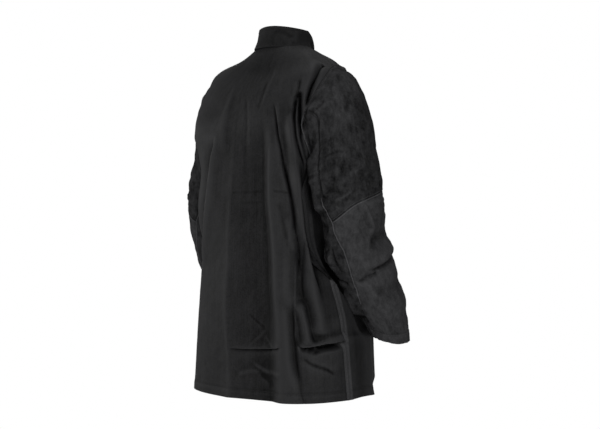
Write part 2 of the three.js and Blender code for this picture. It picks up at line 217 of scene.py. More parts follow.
@dataclass(frozen=True)
class Fold:
    """A fold along a line of (degrees, share) places, with a profile across it.

    For a line that runs down, the far side is on the side of falling degrees; for one that
    runs towards rising degrees, it is below. Fade is the share of the line over which the
    fold comes up at its first and its last place.
    """

    roll: Roll
    line: tuple[Pair, ...]
    height: float
    width: float
    drop: float = 0.0
    far: float = 10.0
    edge: float = 5.0
    lean: float = 0.0
    fade: Pair = (0.2, 0.2)
    steps = 8
    margin = 4.0
    lip_spread = 3.5
    lean_spread = 1.5

    def path(self, scale: Pair) -> Array:
        """The line on the flat cloth: a smooth curve through its places, in even steps.

        Args:
            scale: Flat millimetres for a degree and for a whole share.

        Returns:
            Points, one a row.
        """
        corners = np.array(self.line) * scale
        arc = arc_length(corners)
        at = np.linspace(0, arc[-1], self.steps * len(corners) + 1)
        return np.stack([read_curve(arc, corners[:, k], at) for k in (0, 1)], 1)

    def profile(self, gap: Array) -> Arrays:
        """Height and sideways lean over the signed distance from the line.

        SOFT is a bell. LAP rises as a bell to the line, falls to minus drop within edge and
        comes back as a bell of width far, and leans over its far side. CRACK falls to minus
        drop as an exponential cusp between two bells.

        Args:
            gap: Signed distance from the line.

        Returns:
            Height out of the cloth, and lean towards the far side.
        """
        swell, level = bell(gap, self.width), np.zeros_like(gap)
        if self.roll is Roll.SOFT:
            return self.height * swell, level
        if self.roll is Roll.CRACK:
            lips = bell(gap, self.lip_spread * self.width)
            return self.height * lips - self.drop * np.exp(-np.abs(gap) / self.width), level
        fall = ease(0, self.edge, gap)
        rest = bell(np.maximum(gap - self.edge, 0), self.far)
        near = self.height * np.where(gap < 0, swell, 1)
        lean = np.where(gap < 0, bell(gap, self.lean_spread * self.width), 1 - fall)
        return mix(near, -self.drop * rest, fall), self.lean * lean

    def shift(self, flat: Array, scale: Pair) -> Array:
        """How the fold moves places of the cloth.

        Args:
            flat: Places on the flat cloth, one a row.
            scale: Flat millimetres for a degree and for a whole share.

        Returns:
            Across, along and out moves, one row a place.
        """
        moved = np.zeros((len(flat), 3))
        path = self.path(scale)
        margin = self.margin * max(self.width, self.far + self.edge)
        near = ((flat > path.min(0) - margin) & (flat < path.max(0) + margin)).all(1)
        if not near.any():
            return moved
        step = np.diff(path, axis=0)
        length = np.linalg.norm(step, axis=1)
        away = flat[near][:, None, :] - path[None, :-1]
        part = np.clip((away * step).sum(2) / length**2, 0, 1)
        gaps = away - part[..., None] * step
        best = (gaps**2).sum(2).argmin(1)
        pick = np.arange(len(best))
        gap, way = gaps[pick, best], unit(step)[best]
        side = way[:, 1] * gap[:, 0] - way[:, 0] * gap[:, 1]
        signed = np.sign(side) * np.linalg.norm(gap, axis=1)
        along = (np.cumsum(length) - length)[best] + part[pick, best] * length[best]
        along /= length.sum()
        strength = np.ones_like(along)
        for fade, place in zip(self.fade, (along, 1 - along)):
            if fade > 0:
                strength *= ease(0, fade, place)
        out, lean = self.profile(signed)
        moved[near, 0] = strength * lean * way[:, 1]
        moved[near, 1] = -strength * lean * way[:, 0]
        moved[near, 2] = strength * out
        return moved


# ---------------------------------------------------------------- forms


class Form:
    """A surface over degrees and share, whose folds move it across, along and out."""

    scale: Pair = (1.0, 1.0)
    folds: tuple[Fold, ...] = ()
    probe_deg = 0.4
    probe_share = 0.003

    def plain(self, deg: Array, share: Array) -> Array:
        """Points of the surface before its folds."""
        raise NotImplementedError

    def relief(self, deg: Array, share: Array) -> Array:
        """Small wrinkles, hems and seams, as heights out of the surface."""
        return np.zeros_like(deg)

    def flat(self, deg: Array, share: Array) -> Array:
        """Places on the flat cloth."""
        return np.stack([deg * self.scale[0], share * self.scale[1]], -1)

    def drape(self, deg: Array, share: Array) -> Array:
        """Points of the surface with its folds.

        Out is the cross product of the along and across directions, which are central
        differences of the plain surface.

        Args:
            deg: Degrees round.
            share: Share along.

        Returns:
            Points in millimetres.
        """
        deg, share = np.broadcast_arrays(np.asarray(deg, float), np.asarray(share, float))
        inside = np.clip(share, self.probe_share, 1 - self.probe_share)
        turn, rise = self.probe_deg, self.probe_share
        across = unit(self.plain(deg + turn, inside) - self.plain(deg - turn, inside))
        along = unit(self.plain(deg, inside + rise) - self.plain(deg, inside - rise))
        out = unit(np.cross(along, across))
        flat = self.flat(deg, share).reshape(-1, 2)
        moved = sum((fold.shift(flat, self.scale) for fold in self.folds), np.zeros((len(flat), 3)))
        moved = moved.reshape(*deg.shape, 3)
        height = moved[..., 2] + self.relief(deg, share)
        return (self.plain(deg, share) + across * moved[..., :1] + along * moved[..., 1:2]
                + out * height[..., None])


@dataclass(frozen=True)
class SleeveCourse:
    """The plain tube that both sleeves follow, as inner and outer edges at shares of its length."""

    table: Columns = Columns(
        ("share", "inner_x", "inner_z", "outer_x", "outer_z", "middle_y", "depth", "forward"),
        (
            (0.00, 140, -256, 172, -48, 20, 70, 0),
            (0.10, 138, -272, 224, -92, 23, 67, 0),
            (0.20, 135, -288, 246, -176, 21, 70, 0),
            (0.34, 134, -324, 257, -282, 12, 76, 3),
            (0.50, 143, -384, 265, -362, 7, 78, 14),
            (0.66, 147, -456, 264, -448, -14, 76, 22),
            (0.84, 160, -552, 267, -560, -62, 60, 18),
            (1.00, 181, -632, 264, -660, -100, 42, 6),
        ),
    )
    fullness: float = 0.9

    def section(self, share: Array) -> tuple[Array, Array, Array]:
        """The tube's section, whose depth turns forward about its reach by an angle.

        Args:
            share: Share along the sleeve.

        Returns:
            Middle point, half the way from inner to outer edge, and half the way to the back.
        """
        read = {name: self.table.read(name, share) for name in self.table.names[1:]}
        zero = np.zeros_like(share)
        inner = np.stack([read["inner_x"], read["middle_y"], read["inner_z"]], -1)
        outer = np.stack([read["outer_x"], read["middle_y"], read["outer_z"]], -1)
        reach = (outer - inner) / 2
        turn = np.radians(read["forward"])
        down = unit(np.stack([reach[..., 2], zero, -reach[..., 0]], -1))
        back = np.stack([zero, np.cos(turn), zero], -1) + down * np.sin(turn)[..., None]
        return (inner + outer) / 2, reach, back * read["depth"][..., None]

    def tube(self, deg: Array, share: Array) -> Array:
        """The left tube: middle + reach cos + depth sin, both to the fullness power.

        Args:
            deg: Degrees from the outer edge, by the back.
            share: Share along the sleeve.

        Returns:
            Points in millimetres.
        """
        middle, reach, back = self.section(share)
        angle = np.radians(deg)
        cosine = signed_power(np.cos(angle), self.fullness)[..., None]
        sine = signed_power(np.sin(angle), self.fullness)[..., None]
        return middle + reach * cosine + back * sine

    def share_at(self, height: Array) -> Array:
        """The share whose middle lies at a height.

        Args:
            height: Heights in millimetres.

        Returns:
            The shares, read straight between the table's rows.
        """
        table = np.array(self.table.rows)
        middles = (table[:, 2] + table[:, 4]) / 2
        return np.interp(-height, -middles, table[:, 0])


@dataclass(frozen=True)
class Armhole:
    """The cut for a sleeve, as angles on the body at shares of its height."""

    armpit: float = 0.665
    shoulder: float = 0.89
    armpit_deg: float = 72.0
    shoulder_deg: float = 90.0
    hem_deg: float = 80.6
    back_deg: float = 22.0
    front_deg: float = 25.0
    power: float = 0.75
    low_power: float = 1.4

    def edges(self, share: Array) -> Arrays:
        """The hole's two edges, which are one seam below and above it.

        They part from the seam by a power of the sine of the way up the hole.

        Args:
            share: Share of the body's height.

        Returns:
            Angles of the back and the front edge.
        """
        seam = mix(self.hem_deg, self.armpit_deg, np.minimum(share / self.armpit, 1))
        part = np.clip((share - self.armpit) / (self.shoulder - self.armpit), 0, 1)
        middle = seam + (self.shoulder_deg - self.armpit_deg) * part
        power = np.where(part < 0.5, self.low_power, self.power)
        opening = np.maximum(np.sin(np.pi * part), 0) ** power
        return middle - self.back_deg * opening, middle + self.front_deg * opening

    def ring(self, deg: Array) -> Arrays:
        """Places round the hole.

        Args:
            deg: Degrees round it: 0 at the shoulder, 90 behind, 180 in the armpit.

        Returns:
            Body angles and shares.
        """
        turn = np.mod(deg, 360)
        share = mix(self.armpit, self.shoulder, 0.5 + 0.5 * np.cos(np.radians(turn)))
        back, front = self.edges(share)
        return np.where(turn <= 180, back, front), share


BODY_FOLDS = (
    # the long pleat down the right back, the hollow that opens under it and the valley to the hem
    Fold(Roll.CRACK, ((-36.2, 0.835), (-37.6, 0.79), (-39, 0.744), (-41, 0.70), (-42.8, 0.658),
         (-44.4, 0.622), (-45.7, 0.592), (-47, 0.568)), 1.0, 3.4, drop=8, fade=(0.2, 0.1)),
    Fold(Roll.CRACK, ((-44.7, 0.605), (-46.1, 0.572), (-47.2, 0.54), (-48.5, 0.505), (-50, 0.475),
         (-51, 0.432), (-51, 0.389), (-51, 0.346)), 0, 4.5, drop=8, fade=(0.12, 0.25)),
    Fold(Roll.LAP, ((-41.4, 0.66), (-42.6, 0.62), (-44.2, 0.59), (-45.4, 0.565), (-46.2, 0.54),
         (-47, 0.51), (-47.8, 0.47)), 0.5, 12, drop=8, far=6, edge=6, lean=2, fade=(0.3, 0.25)),
    Fold(Roll.LAP, ((-47.4, 0.54), (-45.4, 0.48), (-43.6, 0.42), (-42.4, 0.36), (-42.4, 0.30),
         (-43.5, 0.26)), 3, 22, drop=9, far=6, edge=29, fade=(0.25, 0.2)),
    Fold(Roll.LAP, ((-41.4, 0.28), (-42.4, 0.22), (-43.2, 0.165), (-44.6, 0.10), (-48.5, 0.03)), 3, 14,
         drop=5, far=6, edge=12, fade=(0.2, 0.3)),
    Fold(Roll.CRACK, ((-48.6, 0.31), (-48.2, 0.27), (-47.8, 0.232), (-47.2, 0.162), (-47.8, 0.12),
         (-50, 0.066), (-54, -0.01)), 0, 13, drop=5, fade=(0.3, 0)),
    Fold(Roll.SOFT, ((-53.8, 0.335), (-54.8, 0.312), (-56, 0.274), (-57, 0.236), (-58, 0.202),
         (-58.8, 0.18)), -4.5, 8, fade=(0.35, 0)),
    Fold(Roll.LAP, ((-57.2, 0.166), (-56, 0.198), (-54.8, 0.232), (-53.5, 0.26), (-52.2, 0.288)), 12, 6,
         drop=0, far=6, edge=15, fade=(0.1, 0.25)),
    Fold(Roll.CRACK, ((-49.8, 0.418), (-49.3, 0.36), (-48.9, 0.296), (-48.5, 0.232), (-48.2, 0.165)), 0,
         3, drop=-3, fade=(0.2, 0.1)),
    # the roll right of the pleat and the hollow between it and the arm
    Fold(Roll.SOFT, ((-52.8, 0.81), (-52.8, 0.75), (-52.8, 0.69), (-53, 0.634), (-53, 0.58),
         (-53.3, 0.53)), 19, 14, fade=(0.25, 0.35)),
    Fold(Roll.LAP, ((-54.1, 0.66), (-54.1, 0.62), (-54.2, 0.57), (-54.9, 0.522), (-55.8, 0.47),
         (-57.6, 0.416), (-60.2, 0.36), (-62.5, 0.31), (-63.5, 0.27)), 18, 15, drop=44, far=52, edge=7,
         lean=4, fade=(0.22, 0.55)),
    Fold(Roll.CRACK, ((-52.6, 0.70), (-52.8, 0.65), (-52.9, 0.60), (-53.3, 0.55), (-54.1, 0.505),
         (-55.1, 0.47), (-56.7, 0.42)), 0, 9, drop=-5, fade=(0.25, 0.3)),
    Fold(Roll.SOFT, ((-57, 0.38), (-58.2, 0.36), (-60.4, 0.304), (-62.6, 0.244), (-63.4, 0.185)), 12, 11,
         fade=(0.3, 0.1)),
    # the valley and roll left of the pleat, and the pressed ridge left of the middle
    Fold(Roll.LAP, ((-40.4, 0.16), (-39.4, 0.216), (-38, 0.286), (-37.4, 0.344), (-37.2, 0.396),
         (-36.4, 0.458), (-35, 0.51), (-33.6, 0.548), (-33.2, 0.61), (-33.8, 0.692), (-34, 0.82)), 7, 30,
         drop=13, far=75, edge=32, fade=(0.2, 0.3)),
    Fold(Roll.LAP, ((-42.6, -0.01), (-41.4, 0.092), (-40.8, 0.16), (-39.8, 0.216), (-38.4, 0.29)), 7, 30,
         drop=13, far=75, edge=40, fade=(0, 0.4)),
    Fold(Roll.CRACK, ((19, 0.85), (15, 0.758), (14.5, 0.668), (14.4, 0.586), (15.6, 0.50), (16, 0.398),
         (17.8, 0.308), (18, 0.248), (15.8, 0.176), (12.5, 0.104), (11, -0.01)), 0, 70, drop=-14,
         fade=(0.35, 0)),
    Fold(Roll.SOFT, ((-38.5, 0.56), (-41, 0.52), (-43, 0.49), (-45, 0.455)), -1.2, 5),
    Fold(Roll.SOFT, ((-44, 0.52), (-46.5, 0.47), (-49, 0.42)), 2, 5),
    # soft pulls over the shoulder blades
    Fold(Roll.SOFT, ((9, 0.88), (-1, 0.786), (0.2, 0.696), (2.2, 0.60)), -1.2, 8),
    Fold(Roll.SOFT, ((-35.2, 0.946), (-32.2, 0.90), (-27.5, 0.866), (-21.2, 0.834)), 1.2, 7),
    Fold(Roll.SOFT, ((-26, 0.91), (-22, 0.86), (-16, 0.81)), -1.6, 7),
    Fold(Roll.SOFT, ((34, 0.90), (30, 0.80), (26, 0.68)), 2, 10),
    # cracks behind the right arm
    Fold(Roll.CRACK, ((-79, 0.909), (-74.5, 0.90), (-70.2, 0.874), (-66.8, 0.85), (-64.5, 0.826),
         (-62, 0.808)), 2.5, 3.3, drop=30, fade=(0.08, 0.2)),
    Fold(Roll.CRACK, ((-58.4, 0.85), (-58.2, 0.836), (-58, 0.802), (-58, 0.762), (-59.6, 0.72),
         (-63.2, 0.69), (-66, 0.66)), 2, 3.0, drop=32, fade=(0.06, 0.15)),
    Fold(Roll.SOFT, ((-60.2, 0.885), (-57.5, 0.848), (-54.2, 0.825)), -3, 4.5),
    Fold(Roll.CRACK, ((-56.8, 0.84), (-55.3, 0.826), (-53.8, 0.798), (-54, 0.764), (-54.8, 0.714),
         (-58, 0.668), (-63, 0.634)), 1.5, 3, drop=17, fade=(0.1, 0.15)),
    # creases left by packing
    Fold(Roll.LAP, ((-40.5, 0.155), (-31, 0.152), (-16, 0.148), (2, 0.144), (17, 0.14)), 3, 12, drop=3.5,
         far=7, edge=3, lean=4, fade=(0.1, 0.4)),
    Fold(Roll.SOFT, ((-22, 0.184), (-27.2, 0.168), (-32, 0.153)), 0.8, 3.2),
    Fold(Roll.SOFT, ((-6.8, 0.152), (-15, 0.174), (-24, 0.199)), 0.8, 3.2),
    Fold(Roll.SOFT, ((-6, 0.242), (-14.8, 0.22), (-23.6, 0.199)), -0.8, 3.4),
    Fold(Roll.SOFT, ((-10.8, 0.106), (-23.8, 0.084), (-33, 0.078), (-42.5, 0.072)), 1.8, 5),
    Fold(Roll.SOFT, ((3.5, 0.068), (-10.8, 0.08), (-19.8, 0.08)), 1.5, 5),
    Fold(Roll.SOFT, ((-18, 0.074), (-27.8, 0.058), (-31.2, 0.034)), -2.2, 6),
    Fold(Roll.CRACK, ((14, 0.58), (-5, 0.58), (-24, 0.582)), 0.3, 2.6, drop=1.1, fade=(0.05, 0.2)),
    Fold(Roll.CRACK, ((10, 0.552), (-24, 0.554)), 0.2, 2.6, drop=0.8),
    Fold(Roll.CRACK, ((-34, 0.582), (-48.4, 0.577)), 0.4, 2.8, drop=1.8),
    # the overhang above the right hem, the dark tuck below it and the slanting crease
    Fold(Roll.LAP, ((-79, 0.183), (-77.2, 0.18), (-74, 0.174), (-66.8, 0.171), (-61.2, 0.166),
         (-57.2, 0.163), (-50, 0.16)), 5, 12, drop=14, far=9, edge=3.5, lean=5, fade=(0.04, 0.12)),
    Fold(Roll.SOFT, ((-60, 0.153), (-66, 0.155), (-72, 0.158), (-76, 0.163)), -22, 6, fade=(0.3, 0.15)),
    Fold(Roll.SOFT, ((-55, 0.15), (-60, 0.148), (-62, 0.136)), -8, 7),
    Fold(Roll.CRACK, ((-53, 0.126), (-58.2, 0.108), (-62.2, 0.10), (-66.5, 0.092), (-71.5, 0.074)), 1.5,
         3.5, drop=5),
    # the folds down the left back
    Fold(Roll.LAP, ((54, 0.38), (48, 0.44), (42.5, 0.482), (39.4, 0.522), (37.4, 0.562), (36.6, 0.60),
         (36, 0.636), (35.4, 0.67), (35.2, 0.706), (35, 0.75)), 4, 16, drop=16, far=28, edge=7, lean=3,
         fade=(0.12, 0.25)),
    Fold(Roll.SOFT, ((74, 0.875), (67, 0.84), (61, 0.80), (58.5, 0.77), (60, 0.735), (65, 0.70),
         (70, 0.668)), 20, 26, fade=(0.35, 0.12)),
    # the flat of the right back down to its seam
    Fold(Roll.SOFT, ((-75, 0.33), (-76, 0.25), (-77, 0.15), (-79, -0.01)), 12, 34, fade=(0.35, 0)),
    # the right shoulder's slope and the fall of the right front
    Fold(Roll.SOFT, ((-74, 0.955), (-79, 0.925), (-84, 0.90), (-90, 0.885), (-96, 0.87)), -14, 26,
         fade=(0.6, 0.1)),
    Fold(Roll.SOFT, ((-126, 0.28), (-130, 0.15), (-132, 0.03)), 8, 45, fade=(0.3, 0.1)),
    # soft falls on the hidden fronts
    Fold(Roll.SOFT, ((112, 0.60), (118, 0.02)), -6, 20, fade=(0.3, 0)),
    Fold(Roll.SOFT, ((138, 0.55), (142, 0.02)), 5, 18, fade=(0.3, 0)),
    Fold(Roll.SOFT, ((-110, 0.62), (-116, 0.02)), -6, 20, fade=(0.3, 0)),
    Fold(Roll.SOFT, ((-135, 0.55), (-140, 0.02)), 5, 18, fade=(0.3, 0)),
    Fold(Roll.SOFT, ((116, 0.86), (132, 0.62)), -4, 24, fade=(0.4, 0.4)),
    Fold(Roll.SOFT, ((-116, 0.86), (-132, 0.62)), -4, 24, fade=(0.4, 0.4)),
)


@dataclass(frozen=True)
class BodyForm(Form):
    """The cloth body, from hem to neck, by degrees from centre back and share of its height."""

    table: Columns = Columns(
        ("share", "side", "width", "back", "front", "square", "back_rise", "front_rise", "middle"),
        (
            (0.00, -774, 207, 143, 136, 3.5, -6, -12, 0),
            (0.24, -595, 198, 138, 132, 3.3, 0, 0, 0),
            (0.46, -430, 184, 132, 126, 3.0, 0, 0, 4),
            (0.66, -262, 160, 122, 118, 2.8, 0, 0, 10),
            (0.80, -150, 166, 110, 108, 2.6, -10, -14, 16),
            (0.89, -46, 174, 88, 86, 2.5, -48, -70, 20),
            (0.95, -19, 112, 68, 70, 2.2, -28, -62, 12),
            (1.00, 2, 66, 60, 62, 2.0, 0, -66, 0),
        ),
    )
    course: SleeveCourse = SleeveCourse()
    armhole: Armhole = Armhole()
    rise_power: float = 0.75
    arm_room: float = 9.0
    arm_spread: float = 24.0
    softness: float = 12.0
    press: Bounds = ((-130.0, -215.0), (-680.0, -630.0))
    unpressed: float = 400.0
    hem: TurnedEdge = TurnedEdge(20.0, 0.7, 0.6, 2.2)
    drawn: float = 0.15
    upper_deg: Bounds = ((12.0, 50.0), (125.0, 95.0))
    upper_share: float = 0.766
    upper_spread: float = 0.08
    lower_deg: Bounds = ((12.0, 45.0), (90.0, 64.0))
    lower_share: Bounds = ((0.38, 0.58), (0.77, 0.65))
    falls: tuple[Ripple, ...] = (Ripple(0.9, 40, 240, 3, start=7), Ripple(0.3, 17, 110, 5))
    crumples: tuple[Ripple, ...] = (Ripple(0.22, 13, 17, 8, slant=30), Ripple(0.1, 6, 7, 9))
    least_fall: float = 0.2
    fall_share: Pair = (0.90, 0.80)
    seam_depth: float = 1.4
    seam_width: float = 3.0
    scale: Pair = (2.8, 800.0)
    folds: tuple[Fold, ...] = BODY_FOLDS

    def plain(self, deg: Array, share: Array) -> Array:
        """A squared oval section, raised at back and front, pressed in beside the arms.

        The radius is (|sin/width|^n + |cos/depth|^n)^(-1/n). The half width beside a sleeve is
        the soft minimum of the section's own and the room that the sleeve leaves. The left arm
        draws the cloth out beside its armhole.

        Args:
            deg: Degrees from centre back, rising to the wearer's left.
            share: Share of the height, from the hem.

        Returns:
            Points in millimetres.
        """
        angle = np.radians(deg)
        sine, cosine = np.sin(angle), np.cos(angle)
        read = {name: self.table.read(name, share) for name in self.table.names[1:]}
        behind = cosine > 0
        depth = np.where(behind, read["back"], read["front"])
        power = read["square"]
        radius = (np.abs(sine / read["width"]) ** power + np.abs(cosine / depth) ** power) ** (-1 / power)
        upper = window(self.upper_deg, deg) * bell(share - self.upper_share, self.upper_spread)
        lower = window(self.lower_deg, deg) * window(self.lower_share, share)
        radius = radius * (1 + self.drawn * (upper + lower))
        x, y = radius * sine, read["middle"] + radius * cosine
        rise = np.where(behind, read["back_rise"], read["front_rise"])
        z = read["side"] + rise * np.abs(radius * cosine / depth) ** (self.rise_power * power)
        return np.stack([np.sign(x) * self.pressed(np.abs(x), y, z), y, z], -1)

    def pressed(self, x: Array, y: Array, z: Array) -> Array:
        """The half width that the hanging sleeve leaves, as a soft minimum.

        Args:
            x: Half width of the section.
            y: Place from front to back.
            z: Height.

        Returns:
            The pressed half width.
        """
        middle, reach, back = self.course.section(self.course.share_at(z))
        spread = np.linalg.norm(back, axis=-1) + self.arm_spread
        across = (y - middle[..., 1]) / spread
        hollow = (reach[..., 0] + self.arm_room) * np.sqrt(np.maximum(1 - across**2, 0))
        hold = window(self.press, z)
        limit = mix(self.unpressed, middle[..., 0] - hollow, hold)
        return -self.softness * np.logaddexp(-x / self.softness, -limit / self.softness)

    def relief(self, deg: Array, share: Array) -> Array:
        """Long falls and small crumples of noise, a turned hem and sunk seams.

        Args:
            deg: Degrees from centre back.
            share: Share of the height.

        Returns:
            Heights out of the cloth.
        """
        u, v = np.moveaxis(self.flat(deg, share), -1, 0)
        falls = sum(layer.at(u, v) for layer in self.falls)
        crumple = sum(layer.at(u, v) for layer in self.crumples)
        back, front = self.armhole.edges(share)
        seam = np.minimum(np.abs(np.abs(deg) - back), np.abs(np.abs(deg) - front)) * self.scale[0]
        pulled = mix(self.least_fall, 1, ease(*self.fall_share, share))
        sunk = self.seam_depth * bell(seam, self.seam_width)
        return falls * pulled + crumple - sunk + self.hem.at(v)


SLEEVE_FOLDS = (
    # the deep creases below the elbow, with the bulge above them
    Fold(Roll.CRACK, ((72, 0.745), (57, 0.74), (40, 0.732), (25, 0.732), (12, 0.727)), 3, 5, drop=12),
    Fold(Roll.CRACK, ((36, 0.712), (15, 0.719), (-1, 0.722), (-20, 0.722), (-60, 0.72)), 3, 5.5, drop=15,
         fade=(0.2, 0.3)),
    Fold(Roll.SOFT, ((60, 0.688), (20, 0.693), (-20, 0.691), (-60, 0.688)), 5, 12),
    Fold(Roll.SOFT, ((30, 0.705), (-10, 0.707)), 2, 4),
    # the elbow's hollows and swellings
    Fold(Roll.SOFT, ((25, 0.622), (-10, 0.63), (-70, 0.622)), -12, 16),
    Fold(Roll.SOFT, ((35, 0.475), (0, 0.475), (-40, 0.48)), 4, 10),
    Fold(Roll.SOFT, ((50, 0.78), (0, 0.80), (-60, 0.80)), -4, 10),
    Fold(Roll.SOFT, ((60, 0.85), (0, 0.855), (-60, 0.86)), 4, 15),
    Fold(Roll.SOFT, ((24, 0.466), (18, 0.50), (12, 0.54), (6, 0.58)), 3, 3.2),
    Fold(Roll.SOFT, ((26, 0.50), (20, 0.54), (12, 0.58)), -1.5, 5),
    Fold(Roll.SOFT, ((80, 0.43), (55, 0.416), (40, 0.402)), 2.8, 3.5),
    Fold(Roll.CRACK, ((92, 0.246), (72, 0.254), (56, 0.265), (44, 0.274)), 2, 3, drop=3),
    # the upper arm's back seam, drawn in
    Fold(Roll.CRACK, ((83, 0.06), (86, 0.10), (96, 0.15), (104, 0.20), (106, 0.27), (104.3, 0.35),
         (104.4, 0.40)), 1, 3, drop=5, fade=(0.1, 0.1)),
    Fold(Roll.SOFT, ((60, 0.90), (20, 0.915), (-20, 0.905)), -2, 8),
    # puckers of the sleeve head and hollows along the upper arm
    Fold(Roll.CRACK, ((80, 0.08), (71, 0.092), (62, 0.102)), 1.5, 4, drop=5),
    Fold(Roll.SOFT, ((60, 0.03), (52, 0.07)), 2.2, 5),
    Fold(Roll.SOFT, ((84, 0.03), (74, 0.07)), 2.2, 5),
    Fold(Roll.SOFT, ((19, 0.07), (33, 0.108), (29, 0.14), (26, 0.16)), -3, 8),
    Fold(Roll.SOFT, ((14, 0.13), (24, 0.15), (37, 0.175)), -2.5, 6),
    Fold(Roll.SOFT, ((70, 0.16), (80, 0.32), (72, 0.42)), -3, 14),
    Fold(Roll.SOFT, ((10, 0.30), (45, 0.35), (80, 0.36)), 2.5, 10),
    # the slack of the under-sleeve inside the bent elbow
    Fold(Roll.SOFT, ((150, 0.50), (122, 0.515), (100, 0.54)), -6, 11),
    Fold(Roll.SOFT, ((160, 0.64), (122, 0.655), (100, 0.66)), 8, 22),
    Fold(Roll.SOFT, ((122, 0.775), (115, 0.82), (112, 0.86), (114, 0.90)), 15, 20, fade=(0.25, 0.3)),
    Fold(Roll.CRACK, ((98, 0.592), (101, 0.64), (100, 0.70)), 1.5, 4.5, drop=5),
    Fold(Roll.CRACK, ((88, 0.75), (105, 0.742), (135, 0.735), (165, 0.72)), 2, 5, drop=8,
         fade=(0.1, 0.3)),
    Fold(Roll.CRACK, ((108, 0.60), (122, 0.62), (140, 0.61)), 1, 4, drop=4),
    Fold(Roll.CRACK, ((104, 0.68), (118, 0.665), (134, 0.69)), 1, 4, drop=4),
    Fold(Roll.SOFT, ((140, 0.10), (134, 0.18), (130, 0.26), (126, 0.34)), 14, 22, fade=(0.3, 0.3)),
    Fold(Roll.SOFT, ((120, 0.28), (123, 0.33), (124, 0.38), (121, 0.43), (117, 0.47)), 13, 18),
    Fold(Roll.SOFT, ((230, 0.50), (270, 0.47), (310, 0.48)), -5, 12),
    Fold(Roll.SOFT, ((235, 0.58), (275, 0.56), (315, 0.56)), 4, 12),
    Fold(Roll.SOFT, ((220, 0.65), (270, 0.64), (310, 0.65)), -4, 11),
)


LEFT_SLEEVE_FOLDS = SLEEVE_FOLDS + (
    Fold(Roll.SOFT, ((75, 0.08), (58, 0.16), (50, 0.25), (48, 0.34)), -13, 34, fade=(0.1, 0.3)),
)


@dataclass(frozen=True)
class SleeveForm(Form):
    """A suede sleeve by degrees from its outer edge and share from the armhole."""

    body: BodyForm = BodyForm()
    side: int = 1
    head: float = 0.2
    seam_table: Columns = Columns(
        ("share", "deg"),
        ((0.00, 82), (0.10, 86), (0.15, 96), (0.20, 104), (0.27, 106), (0.37, 104), (0.42, 104), (0.46, 99),
         (0.50, 91), (0.545, 88), (0.585, 82), (0.62, 76), (0.66, 73), (0.71, 75), (0.76, 79), (0.81, 83),
         (0.87, 88), (1.00, 92)),
    )
    front_seam: float = 260.0
    elbow_share: float = 0.456
    elbow_drop: float = 0.0005
    elbow_arch: float = 0.012
    arch_deg: float = 40.0
    arch_spread: float = 35.0
    cuff: TurnedEdge = TurnedEdge(22.0, 0.8, 0.8, 2.5)
    crumples: tuple[Ripple, ...] = (Ripple(2.2, 30, 38, 21), Ripple(1.2, 13, 16, 22))
    grain: Ripple = Ripple(0.35, 6, 6, 23)
    pucker: Ripple = Ripple(0.9, 20, 7, 25)
    pucker_reach: float = 14.0
    left_shift: float = 11.0
    seam_depth: float = 1.5
    seam_width: float = 3.5
    held: float = 0.05
    scale: Pair = (1.2, 600.0)
    folds: tuple[Fold, ...] = SLEEVE_FOLDS

    def back_seam(self, share: Array) -> Array:
        """The back seam's angle."""
        return self.seam_table.read("deg", share)

    def elbow(self, deg: Array) -> Array:
        """The elbow seam's share, which drops towards the back and arches up between."""
        arch = self.elbow_arch * bell(deg - self.arch_deg, self.arch_spread)
        return self.elbow_share + self.elbow_drop * deg - arch

    def plain(self, deg: Array, share: Array) -> Array:
        """The tube, drawn to the armhole's ring by the square of what is left of the head.

        Args:
            deg: Degrees from the outer edge, by the back.
            share: Share from the armhole.

        Returns:
            Points of a left sleeve in millimetres; a right one is mirrored when it is meshed.
        """
        tube = self.body.course.tube(deg, share)
        body_deg, body_share = self.body.armhole.ring(deg)
        ring = self.body.drape(self.side * body_deg, body_share) * (self.side, 1, 1)
        rest = 1 - np.minimum(share / self.head, 1)
        return mix(tube, ring, (rest**2)[..., None])

    def relief(self, deg: Array, share: Array) -> Array:
        """Crumples of the heavy suede, its sunk seams and the turned cuff.

        Args:
            deg: Degrees from the outer edge.
            share: Share from the armhole.

        Returns:
            Heights out of the suede.
        """
        u, v = np.moveaxis(self.flat(deg, share), -1, 0)
        shift = self.left_shift if self.side > 0 else 0.0
        soft = sum(layer.at(u, v, (shift, 0.0)) for layer in self.crumples)
        grain = self.grain.at(u, v, (0.0, shift))
        past = deg - self.back_seam(share)
        seam, front = past * self.scale[0], (deg - self.front_seam) * self.scale[0]
        elbow = (share - self.elbow(deg)) * self.scale[1]
        sunk = bell(seam, self.seam_width) + bell(front, self.seam_width)
        sunk = sunk + np.where(past < 0, bell(elbow, self.seam_width), 0)
        pucker = self.pucker.at(u, v) * bell(seam, self.pucker_reach)
        inside = soft + grain + pucker - self.seam_depth * sunk
        return ease(0, self.held, share) * inside + self.cuff.at(self.scale[1] - v)


